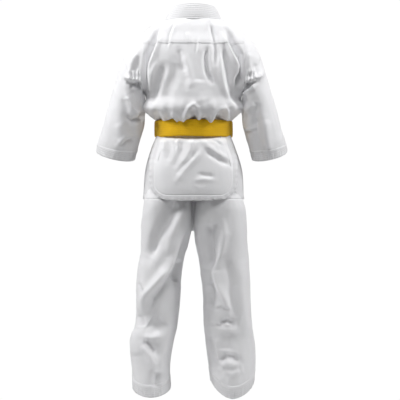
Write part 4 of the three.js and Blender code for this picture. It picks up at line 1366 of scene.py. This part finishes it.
@dataclass
class Sleeve:
    """A short wide sleeve: a tube from the armhole to the cuff, its hem and the gusset under the arm.

    The tube is cut across below the shoulder, because cloth can be shared by only two bodies.

    Attributes:
        jacket: the sections that its armhole is cut from.
        side: 1 for the wearer's right and -1 for the left.
        spread: how much further out its outer edge hangs than the middle of the two sleeves.
        folds: the folds seen from behind.
        stations: outer x and z, then inner x and z, of each ring from the armhole down.
        cuff_slope: how far the cuff's back edge hangs down for each millimetre of depth.
        columns: how many points go round.
        head_rows: how many rows down from the armhole the head is cut off.
        hem_rows: how many rows the hem takes up.
    """

    jacket: JacketShape
    side: int
    spread: float
    folds: tuple[Fold, ...]
    stations: Array = field(
        default_factory=lambda: np.array(
            [
                (122.4, -34, 122.4, -172),
                (142, -52, 122.0, -180),
                (158, -74, 120.0, -190),
                (172, -107, 118.5, -202),
                (184, -147, 118.0, -217),
                (196, -187, 118.0, -234),
                (207, -226, 119.5, -254),
                (217, -264, 126.5, -282),
                (227, -296, 135.0, -312),
                (231, -322, 142.5, -341),
            ],
            float,
        )
    )
    cuff_slope: float = 0.27
    columns: int = 180
    head_rows: int = 48
    hem_rows: int = 15

    def surface(self) -> Array:
        """The sleeve's folded surface.

        Each ring lies between its outer and inner points, with the armhole's own outline on the first
        one, and its front edge is lifted towards the cuff.
        """
        rows = 150
        t = np.linspace(0, 1, rows)
        track = smooth_track(np.linspace(0, 1, len(self.stations)), self.stations, t)
        outer, inner = track[:, :2].copy(), track[:, 2:]
        outer[:, 0] += self.spread * smooth_step(0.02, 0.25, t)
        middle, half = (outer + inner) / 2, (outer - inner) / 2
        turn = (np.arange(self.columns) * 2 * math.pi / self.columns)[None, :]
        depth = (57 - 10 * smooth_step(0, 0.8, t))[:, None]
        x = middle[:, :1] + half[:, :1] * np.sin(turn)
        z = middle[:, 1:] + half[:, 1:] * np.sin(turn)
        y = -depth * np.sign(np.cos(turn)) * np.abs(np.cos(turn)) ** 0.9
        y += (16 * smooth_step(0.55, 1.0, t) ** 2)[:, None]
        # The armhole's outline turns from its top towards the back, a quarter turn on from the rings'.
        hole_y, _ = self.jacket.armhole(math.pi / 2 - turn[0])
        share = (1 - smooth_step(0, 0.3, t))[:, None]
        y = y * (1 - share) + hole_y[None, :] * share
        z = z + (self.cuff_slope * y) * smooth_step(0.62, 1.0, t)[:, None]
        points = stack(x, y, z)
        # Four more rings tuck the sleeve's end into the jacket, drawn in towards the hole's middle.
        hole_middle = (ARMHOLE_TOP + ARMHOLE_BOTTOM) / 2
        tuck = np.linspace(0, 1, 5)[:-1, None, None]
        start = points[:1] * np.array([1, 0.97, 1]) - np.array([9.0, 0, 0])
        start[..., 2] = (start[..., 2] + hole_middle) * 0.975 - hole_middle
        points = np.concatenate([start * (1 - tuck) + points[:1] * tuck, points])
        if self.side < 0:
            points = points[:, ::-1] * np.array([-1, 1, 1])
        normals = normals_of(points, True)
        calm = np.concatenate([np.zeros(4), smooth_step(0.0, 0.10, t)])[:, None]
        relief = folded(points, normals, self.folds) * SLEEVE_RELIEF
        relief = relief + folded(points, normals, self.folds, 1.0) * SLEEVE_FRONT_RELIEF
        points = points + normals * (relief * calm)[..., None]
        rough = roughened(points, True, 1.3, 50 + self.side)
        return points + (rough - points) * calm[..., None]

    def build(self, cotton: bpy.types.Material, cuff: bpy.types.Material) -> list[bpy.types.Object]:
        """The sleeve's head, the tube below it, its hem and its gusset.

        Args:
            cotton: the material of the head, the tube and the gusset.
            cuff: the material of the hem.

        Returns:
            The four pieces, from the top down.
        """
        name = side_name(self.side)
        grid = self.surface()
        head = Cloth(f"{name}_sleeve_head_cloth", grid[: self.head_rows + 1], 1.0, closed=True).build()
        dress(head, cotton, "white_cotton", f"{name}_sleeve_upper")
        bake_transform(head)
        below = grid[self.head_rows : -self.hem_rows + 2]
        tube = Cloth(f"{name}_sleeve_cloth", below, 1.0, closed=True).build()
        dress(tube, cotton, "white_cotton", f"{name}_sleeve_upper", f"{name}_sleeve_lower")
        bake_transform(tube)
        band = hem_band(grid, self.hem_rows, 0.9, 60 + self.side)
        hem = Cloth(f"{name}_sleeve_hem_cloth", band, 2.0, closed=True, hem=band_distances(band)).build()
        dress(hem, cuff, "white_cotton", f"{name}_sleeve_hem")
        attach(hem, f"{name}_forearm_sleeve")
        return [head, tube, hem, self.gusset(grid, cotton)]

    def gusset(self, grid: Array, cotton: bpy.types.Material) -> bpy.types.Object:
        """The diamond let into the sleeve's inner wall, a little proud of it and puckered along its seams.

        Its two parameters run along the diamond's sides, so that their sum goes down the sleeve and
        their difference goes round it.
        """
        name = side_name(self.side)
        u, v = np.meshgrid(np.linspace(0, 1, 44), np.linspace(0, 1, 44), indexing="ij")
        inner = self.columns * 0.75 if self.side > 0 else self.columns * 0.25 - 1
        row = 5 + (u + v) / 2 * 78
        column = inner + (v - u) * self.columns * 0.13
        points = sample(grid, row, column)
        normals = normals_of(points, False)
        edge = np.minimum(np.minimum(u, 1 - u), np.minimum(v, 1 - v))
        pucker = np.sin((u - v) * 34 + np.sin(u * 9) * 1.5) * smooth_step(0, 0.2, edge) * 0.9
        points = points + normals * (0.7 + pucker + 1.2 * np.sin(np.pi * np.clip(edge * 2, 0, 1)))[..., None]
        piece = Cloth(f"{name}_gusset_cloth", points, 1.0, hem=(edge * 70, (u + v) * 70)).build()
        dress(piece, cotton, "white_cotton", f"{name}_underarm_gusset")
        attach(piece, f"{name}_upper_sleeve")
        return piece


# ---- The belt ------------------------------------------------------------------------------------


@dataclass
class Belt:
    """The wide ribbed belt: two turns round the waist, a square knot in front and two hanging ends.

    Attributes:
        width: the belt's width.
        top: how far down its top edge is.
        half_width: half the outer turn's width across the waist.
        half_depth: half its depth.
        forward: how far the turns' middle lies in front of the neck's.
        thick: the belt's thickness.
        end_length: how far each end hangs.
        splay: how far each end leans out, in degrees.
    """

    width: float = 39.5
    top: float = 243.5
    half_width: float = 95.0
    half_depth: float = 85.0
    forward: float = 6.6
    thick: float = 3.4
    end_length: float = 190.0
    splay: float = 13.0

    def turn(self, name: str, inset: float, lower: float, seed: int) -> Cloth:
        """One turn round the waist: an oval band, its edges rounded off and its face slightly uneven."""
        share = np.linspace(-1, 1, 41)[:, None]
        angle = (np.arange(300) * 2 * math.pi / 300)[None, :]
        rounding = -1.3 * np.abs(share) ** 9 - 0.35 * share**2
        rib = np.cos(share * math.pi * 16) * 0.12 * (1 - np.abs(share) ** 8)
        out = rounding + rib - inset
        x = (self.half_width + out) * np.sin(angle)
        y = -(self.half_depth + out) * np.cos(angle) + self.forward
        sway = np.sin(angle * 2 + seed) * 0.7 + np.sin(angle * 5 + seed * 2) * 0.35
        z = -self.top - self.width * (share + 1) / 2 - lower + sway
        points = stack(x, y, z)
        wave = drift(points, (60, 60, 300), seed) * 0.5
        points = points + normals_of(points, True) * wave[..., None]
        away = np.broadcast_to((share + 1) / 2 * self.width, points.shape[:2])
        run = np.broadcast_to(angle * 90, points.shape[:2])
        return Cloth(name, points, self.thick, closed=True, hem=(away, run))

    def build(self, woven: bpy.types.Material) -> list[bpy.types.Object]:
        """Both turns and the knot on the jacket, and the ends on their own bodies."""
        inner = self.turn("belt_inner_turn", 3.6, -1.6, 3).build()
        outer = self.turn("belt_outer_turn", 0.0, 0.4, 8).build()
        dress(inner, woven, "yellow_belt", "belt_inner_wrap")
        dress(outer, woven, "yellow_belt", "belt_outer_wrap")
        made = [inner, outer, self.knot_loop(woven), self.knot_cross(woven)]
        for piece, length in zip(made, (0.545, 0.566, 0.085, 0.078)):
            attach(piece, "jacket")
        return [*made, self.end(1, woven), self.end(-1, woven)]

    def knot_loop(self, woven: bpy.types.Material) -> bpy.types.Object:
        """The strap that goes round the knot from top to bottom, drawn in at its middle."""
        t = np.linspace(-1, 1, 60)
        angle = t * 1.75
        path = stack(3.5 * np.sin(t * 1.2), 95 + 22.5 * np.cos(angle), -263.5 - 18.0 * np.sin(angle))
        tangent = tangents(path)
        side = np.broadcast_to(np.array([0.98, 0.0, 0.2]), path.shape)
        face = np.cross(tangent, side)
        piece = swept("belt_knot_loop", path, side, face, 17.5 + 1.8 * t**2, np.full(60, 2.0))
        return dress(piece, woven, "yellow_belt", "belt_knot")

    def knot_cross(self, woven: bpy.types.Material) -> bpy.types.Object:
        """The strap that passes through the knot from side to side, swelling where it is gripped."""
        t = np.linspace(-1, 1, 60)
        path = stack(33 * t, 104 + 6.5 * (1 - t**2), -263 + 5.0 * t)
        tangent = tangents(path)
        face = np.broadcast_to(np.array([0.0, 1.0, 0.0]), path.shape)
        side = np.cross(face, tangent)
        piece = swept("belt_knot_cross", path, side, face, 18.5 - 3.5 * (1 - t**2), 2.4 + 1.6 * (1 - t**2))
        return dress(piece, woven, "yellow_belt")

    def end(self, side: int, woven: bpy.types.Material) -> bpy.types.Object:
        """One hanging end: out of the knot, over the skirts and down at its lean, bowed a little."""
        name = side_name(side)
        t = np.linspace(0, 1, 120)
        lean = math.radians(self.splay)
        start_x, start_z = side * 8.0, -283.2 - 7.0 + 14.0
        reach = (self.end_length + 14.0) * t
        y = 111.2 if side > 0 else 115.6
        x = start_x + side * math.sin(lean) * (reach - 10)
        z = start_z - math.cos(lean) * reach
        bow = 1.4 * np.sin(t * 5.2 + side) * smooth_step(0.1, 0.5, t)
        path = stack(x, y + bow - 1.5 * (1 - smooth_step(0, 0.12, t)), z)
        across = np.array([math.cos(lean), 0.0, side * math.sin(lean)])
        twist = 0.08 * np.sin(t * 3 + side)[:, None]
        side_way = across[None, :] + np.array([0, 1.0, 0])[None, :] * twist
        side_way /= np.linalg.norm(side_way, axis=1, keepdims=True)
        tangent = tangents(path)
        face = np.cross(side_way, tangent)
        piece = swept(f"belt_{name}_end", path, side_way, face, self.width / 2, 1.7)
        dress(piece, woven, "yellow_belt", f"belt_end_{name}")
        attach(piece, f"belt_end_{name}")
        return piece


# ---- The trousers --------------------------------------------------------------------------------


@dataclass
class TrouserTop:
    """The waistband with its gathers and elastic, the seat, and the strip between the legs.

    Attributes:
        rings: drop, half width and half depth of each section.
        band: how far down the waistband reaches.
        hip: how far down the seat reaches at the sides.
    """

    rings: Array = field(
        default_factory=lambda: np.array(
            [
                (246, 76, 63),
                (280, 76, 63),
                (300, 82, 67),
                (325, 91, 73),
                (393, 111, 80),
                (440, 115, 82),
            ],
            float,
        )
    )
    band: float = 280.0
    hip: float = 430.0

    def tube(self, drop: Array, columns: int, slope: float) -> Array:
        """A stretch of the trousers' top between drops; its lower edge may be slanted."""
        size = smooth_track(self.rings[:, 0], self.rings[:, 1:], drop)
        turn = (np.arange(columns) * 2 * math.pi / columns)[None, :]
        x, y = oval(turn, size[:, :1], size[:, 1:], 2.1)
        share = smooth_step(self.hip - 40, self.hip, drop)[:, None]
        return stack(x, y, -drop[:, None] + slope * y * share)

    def build(self, cotton: bpy.types.Material, knit: bpy.types.Material) -> list[bpy.types.Object]:
        """The four pieces, on the trousers' body."""
        drop = np.linspace(246, self.band + 1, 34)
        points = self.tube(drop, 360, 0)
        turn = (np.arange(360) * 2 * math.pi / 360)[None, :]
        share = np.linspace(0, 1, 34)[:, None]
        gather = np.sin(turn * 46 + np.sin(turn * 7) * 2) * (0.9 + 0.4 * np.sin(turn * 11))
        rows = 1 - 0.8 * np.exp(-(((share % 0.34) - 0.17) / 0.05) ** 2)
        points = points + normals_of(points, True) * (gather * rows * 0.8 + 0.6)[..., None]
        away, run = distances(np.concatenate([points, points[:, :1]], axis=1), 0)
        band = Cloth("waistband_cloth", points, 1.2, closed=True, hem=(away[:, :-1], run[:, :-1])).build()
        dress(band, cotton, "white_cotton", "waistband", "waistband_facing")
        inside = self.tube(np.linspace(249, 276, 40), 300, 0)
        ribs = np.cos(np.linspace(0, 1, 40) * 2 * math.pi * 9)[:, None] * 0.25
        inside = inside + normals_of(inside, True) * (ribs - 3.2)[..., None]
        elastic = Cloth("waist_elastic_knit", inside, 1.2, closed=True).build()
        dress(elastic, knit, "elastic", "waist_elastic")
        seat = self.seat(cotton)
        strip = self.strip(cotton)
        for piece in (band, elastic, seat, strip):
            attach(piece, "trousers")
        return [band, elastic, seat, strip]

    def seat(self, cotton: bpy.types.Material) -> bpy.types.Object:
        """The seat and front from under the waistband to the hips, its gathers fading downwards."""
        drop = np.linspace(self.band - 1, self.hip, 76)
        points = self.tube(drop, 260, 0.1)
        turn = (np.arange(260) * 2 * math.pi / 260)[None, :]
        fade = np.exp(-((drop - self.band) / 26))[:, None]
        gather = np.sin(turn * 46 + np.sin(turn * 7) * 2) * fade * 0.8
        slow = np.sin(turn * 13 + drop[:, None] * 0.012) * 1.4 * smooth_step(285, 330, drop)[:, None]
        points = points + normals_of(points, True) * (gather + slow)[..., None]
        points = roughened(points, True, 0.9, 71)
        piece = Cloth("trouser_seat_cloth", points, 1.0, closed=True).build()
        dress(piece, cotton, "white_cotton", "trouser_seat", "trouser_front")
        return piece

    def strip(self, cotton: bpy.types.Material) -> bpy.types.Object:
        """The strip between the legs: a half oval from the seat under the body to the front."""
        t = np.linspace(-1, 1, 80)
        angle = t * math.pi / 2
        path = stack(2 + 0 * t, 26 * np.sin(angle), -424 - 86 * np.cos(angle))
        tangent = tangents(path)
        side = np.broadcast_to(np.array([1.0, 0.0, 0.0]), path.shape)
        face = np.cross(tangent, side)
        piece = swept("crotch_strip_cloth", path, side, face, 11.0, 0.9)
        dress(piece, cotton, "white_cotton", "crotch_strip")
        return piece


@dataclass
class TrouserLeg:
    """A wide straight leg: a tube from inside the seat to the ankle, and its hem.

    The tube is cut across under the skirts, into its top and the rest.

    Attributes:
        side: 1 for the wearer's right and -1 for the left.
        outline: drop, then the inner and the outer edge's distance from the mid plane.
        folds: the folds seen from behind.
        other: the other leg's folds, which this one's front borrows.
        depths: drop, half depth and squareness.
        hem_dip: how far the hem's back edge hangs below its sides.
        hem_rise: how far the hem rises at its inner and its outer side.
        top_rows: how many rows down the top piece is cut off.
        hem_rows: how many rows the hem takes up.
    """

    side: int
    outline: Array
    folds: tuple[Fold, ...]
    other: tuple[Fold, ...]
    depths: Array = field(
        default_factory=lambda: np.array(
            [
                (408, 70, 2.5),
                (440, 76, 3.0),
                (505, 73, 2.8),
                (580, 67, 2.2),
                (650, 64, 2.1),
                (780, 63, 2.1),
                (888, 60, 2.1),
            ],
            float,
        )
    )
    hem_dip: float = 21.0
    hem_rise: tuple[float, float] = (3.0, 3.0)
    top_rows: int = 11
    hem_rows: int = 14

    def surface(self) -> Array:
        """The leg's folded surface."""
        drop = np.linspace(LEG_TOP, 890, 212)
        edges = smooth_track(self.outline[:, 0], self.outline[:, 1:], drop)
        inner, outer = edges[:, :1] * self.side, edges[:, 1:] * self.side
        middle, half = (inner + outer) / 2, np.abs(outer - inner) / 2
        depth = smooth_track(self.depths[:, 0], self.depths[:, 1:], drop)
        turn = (np.arange(176) * 2 * math.pi / 176)[None, :]
        x, y = oval(turn, half, depth[:, :1], depth[:, 1:])
        slant = smooth_step(700, 888, drop)[:, None]
        inward = -self.side * np.sin(turn)
        rise = np.where(inward > 0, self.hem_rise[0], self.hem_rise[1]) * np.abs(inward) ** 1.6
        fall = np.where(np.cos(turn) > 0, -self.hem_dip, -0.8 * self.hem_dip) * np.cos(turn)
        points = stack(middle + x, y, -drop[:, None] + (rise + fall) * slant)
        normals = normals_of(points, True)
        calm = smooth_step(412, 440, drop)[:, None]
        relief = LEG_RELIEF * folded(points, normals, self.folds)
        relief += LEG_FRONT_RELIEF * folded(points, normals, mirrored_folds(self.other), 1.0)
        points = points + normals * (relief * calm)[..., None]
        # The side seam is a narrow groove with a rise behind it.
        across = (turn - (math.pi / 2 if self.side > 0 else 3 * math.pi / 2) + self.side * 0.22) * self.side
        groove = -0.9 * np.exp(-((across * 62 / 1.6) ** 2))
        behind = 0.8 * smooth_step(-0.14, -0.02, across) * (across < 0)
        points = points + normals * ((groove + behind) * calm)[..., None]
        return roughened(points, True, 1.5, 80 + self.side)

    def build(self, cotton: bpy.types.Material, cuff: bpy.types.Material) -> list[bpy.types.Object]:
        """The leg's top, the tube below it, and its hem.

        Args:
            cotton: the material of the top and the tube.
            cuff: the material of the hem.

        Returns:
            The three pieces, from the top down.
        """
        name = side_name(self.side)
        grid = self.surface()
        top = Cloth(f"{name}_leg_top_cloth", grid[: self.top_rows + 1], 1.0, closed=True).build()
        dress(top, cotton, "white_cotton", f"{name}_thigh")
        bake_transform(top)
        below = grid[self.top_rows : -self.hem_rows + 2]
        leg = Cloth(f"{name}_leg_cloth", below, 1.0, closed=True).build()
        dress(leg, cotton, "white_cotton", f"{name}_thigh", f"{name}_shin")
        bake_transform(leg)
        band = hem_band(grid, self.hem_rows, 0.9, 90 + self.side)
        hem = Cloth(f"{name}_leg_hem_cloth", band, 2.0, closed=True, hem=band_distances(band)).build()
        dress(hem, cuff, "white_cotton", f"{name}_leg_hem")
        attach(hem, f"{name}_lower_leg")
        return [top, leg, hem]


# ---- The studio ----------------------------------------------------------------------------------


@dataclass(frozen=True)
class Light:
    """One square soft light.

    Attributes:
        name: its name.
        at: where it stands, in metres.
        size: the length of its sides, in metres.
        power: its power, in watts.
    """

    name: str
    at: tuple[float, float, float]
    size: float
    power: float


# The side lights are near and high, so that the folds shade themselves; the others fill.
LIGHTS = (
    Light("left", (-1.6, -0.30, 1.10), 0.6, 36.0),
    Light("right", (1.6, -0.28, 1.00), 0.6, 31.0),
    Light("top", (-0.3, -1.3, 1.5), 0.7, 19.0),
    Light("behind", (0.3, 2.6, 0.9), 1.4, 20.0),
)


@dataclass
class Studio:
    """A pale floor, soft lights all round and the camera behind the wearer.

    Attributes:
        middle: the height that the camera looks level at, in metres.
        across: how far to the side it stands.
        away: how far back it stands.
        lens: its focal length, in millimetres.
        aim_above: how far above that height the lights are aimed, in metres.
        surround: how strongly the white surround lights the cloth.
        backdrop: how much brighter it is where the camera sees it.
        floor_level: the floor's height, in millimetres, under the trousers when they are pulled down.
        floor_radius: the floor's radius, in millimetres.
    """

    middle: float = -0.436
    across: float = 0.0157
    away: float = 8.0
    lens: float = 297.6
    aim_above: float = 0.2
    surround: float = 0.13
    backdrop: float = 0.89
    floor_level: float = -1210.0
    floor_radius: float = 1300.0

    def build(self) -> None:
        """Makes the floor, the lights, the white surround and the camera."""
        self._floor()
        for light in LIGHTS:
            self._light(light)
        world = bpy.data.worlds.new("surround")
        world.use_nodes = True
        graph = Graph(world.node_tree)
        background = next(n for n in world.node_tree.nodes if n.type == "BACKGROUND")
        background.inputs["Color"].default_value = (1.0, 1.0, 1.0, 1.0)
        seen = graph.node("ShaderNodeLightPath").outputs["Is Camera Ray"]
        strength = graph.maths("MULTIPLY_ADD", seen, self.backdrop, self.surround)
        graph.feed(background.inputs["Strength"], strength)
        bpy.context.scene.world = world
        bpy.context.scene.view_settings.view_transform = "Standard"
        camera = bpy.data.cameras.new("camera")
        camera.lens = self.lens
        camera.sensor_width = 36.0
        obj = bpy.data.objects.new("camera", camera)
        obj.location = (self.across, -self.away, self.middle)
        obj.rotation_euler = (math.pi / 2, 0.0, 0.0)
        bpy.context.scene.collection.objects.link(obj)
        bpy.context.scene.camera = obj

    def _light(self, light: Light) -> None:
        """Sets up one light, which faces the jacket."""
        lamp = bpy.data.lights.new(light.name, "AREA")
        lamp.energy = light.power
        lamp.size = light.size
        obj = bpy.data.objects.new(light.name, lamp)
        obj.location = light.at
        target = mathutils.Vector((0.0, 0.0, self.middle + self.aim_above))
        aim = target - mathutils.Vector(light.at)
        obj.rotation_euler = aim.to_track_quat("-Z", "Y").to_euler()
        bpy.context.scene.collection.objects.link(obj)

    def _floor(self) -> None:
        """A pale disc under the hems, with a faint unevenness."""
        corners = 96
        turn = np.linspace(0, 2 * math.pi, corners, endpoint=False)
        radius = self.floor_radius
        rim = stack(np.sin(turn) * radius, np.cos(turn) * radius, self.floor_level)
        mesh = bpy.data.meshes.new("floor")
        mesh.from_pydata((rim * MM).tolist(), [], [list(range(corners - 1, -1, -1))])
        floor = bpy.data.objects.new("floor", mesh)
        bpy.context.scene.collection.objects.link(floor)
        paint = bpy.data.materials.new("pale_floor")
        paint.use_nodes = True
        graph = Graph(paint.node_tree)
        shader = next(n for n in graph.tree.nodes if n.type == "BSDF_PRINCIPLED")
        place = graph.node("ShaderNodeTexCoord").outputs["Object"]
        cloud = graph.noise(place, 3.0)
        paper = graph.mix(cloud, (0.93, 0.93, 0.93, 1), (0.96, 0.96, 0.96, 1))
        graph.feed(shader.inputs["Base Color"], paper)
        shader.inputs["Roughness"].default_value = 0.95
        mesh.materials.append(paint)


# ---- Assembly ------------------------------------------------------------------------------------

LEFT_LEG_OUTLINE = np.array(
    [
        # drop, inner edge, outer edge
        (408, 7, 112),
        (432, 5, 118.5),
        (448, 4, 121.5),
        (490, 3, 126),
        (537, 12, 127),
        (566, 21, 128.5),
        (596, 25.5, 134),
        (630, 29, 138),
        (673, 31, 139),
        (711, 35, 139),
        (750, 41, 143.5),
        (775, 47, 151),
        (810, 54, 152.5),
        (850, 58, 149),
        (890, 57, 147),
    ]
)
RIGHT_LEG_OUTLINE = np.array(
    [
        (408, 7, 112),
        (432, 5, 118.5),
        (448, 4, 123),
        (490, 1, 129),
        (537, 4, 131),
        (576, 12, 134),
        (615, 18, 136.5),
        (673, 23, 139),
        (731, 24, 142),
        (770, 28, 146),
        (808, 31.5, 150.5),
        (850, 36, 151),
        (890, 41, 147),
    ]
)


def main() -> None:
    """Builds the studio and every piece of the uniform."""
    logging.basicConfig(level=logging.INFO, format="%(message)s")
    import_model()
    Studio().build()
    groups = {"weave": weave_group(), "stitch": stitch_group()}
    cotton, cuff, quilted, woven, knit = (
        finish.make(groups) for finish in (COTTON, CUFF_COTTON, COLLAR_COTTON, BELT_COTTON, ELASTIC_KNIT)
    )
    jacket = JacketShape(JACKET_RINGS)
    right, left = JacketFront(jacket, 1, 0.0), JacketFront(jacket, -1, 5.0)
    JacketBack(jacket).build(cotton)
    right.build(cotton)
    left.build(cotton)
    CollarBand((right, left)).build(quilted)
    skirts = Skirts(JacketShape(SKIRT_RINGS))
    skirts.tail(cotton)
    for side in (1, -1):
        skirts.front(side, cotton)
        skirts.lapel_tail(side, quilted)
    Sleeve(jacket, 1, -4.0, RIGHT_SLEEVE_FOLDS).build(cotton, cuff)
    Sleeve(jacket, -1, 4.0, LEFT_SLEEVE_FOLDS).build(cotton, cuff)
    Belt().build(woven)
    TrouserTop().build(cotton, knit)
    TrouserLeg(
        1, RIGHT_LEG_OUTLINE, RIGHT_LEG_FOLDS, LEFT_LEG_FOLDS, hem_dip=24.0, hem_rise=(24.0, 18.0)
    ).build(cotton, cuff)
    TrouserLeg(-1, LEFT_LEG_OUTLINE, LEFT_LEG_FOLDS, RIGHT_LEG_FOLDS).build(cotton, cuff)
    bpy.context.view_layer.update()


if __name__ == "__main__":
    main()
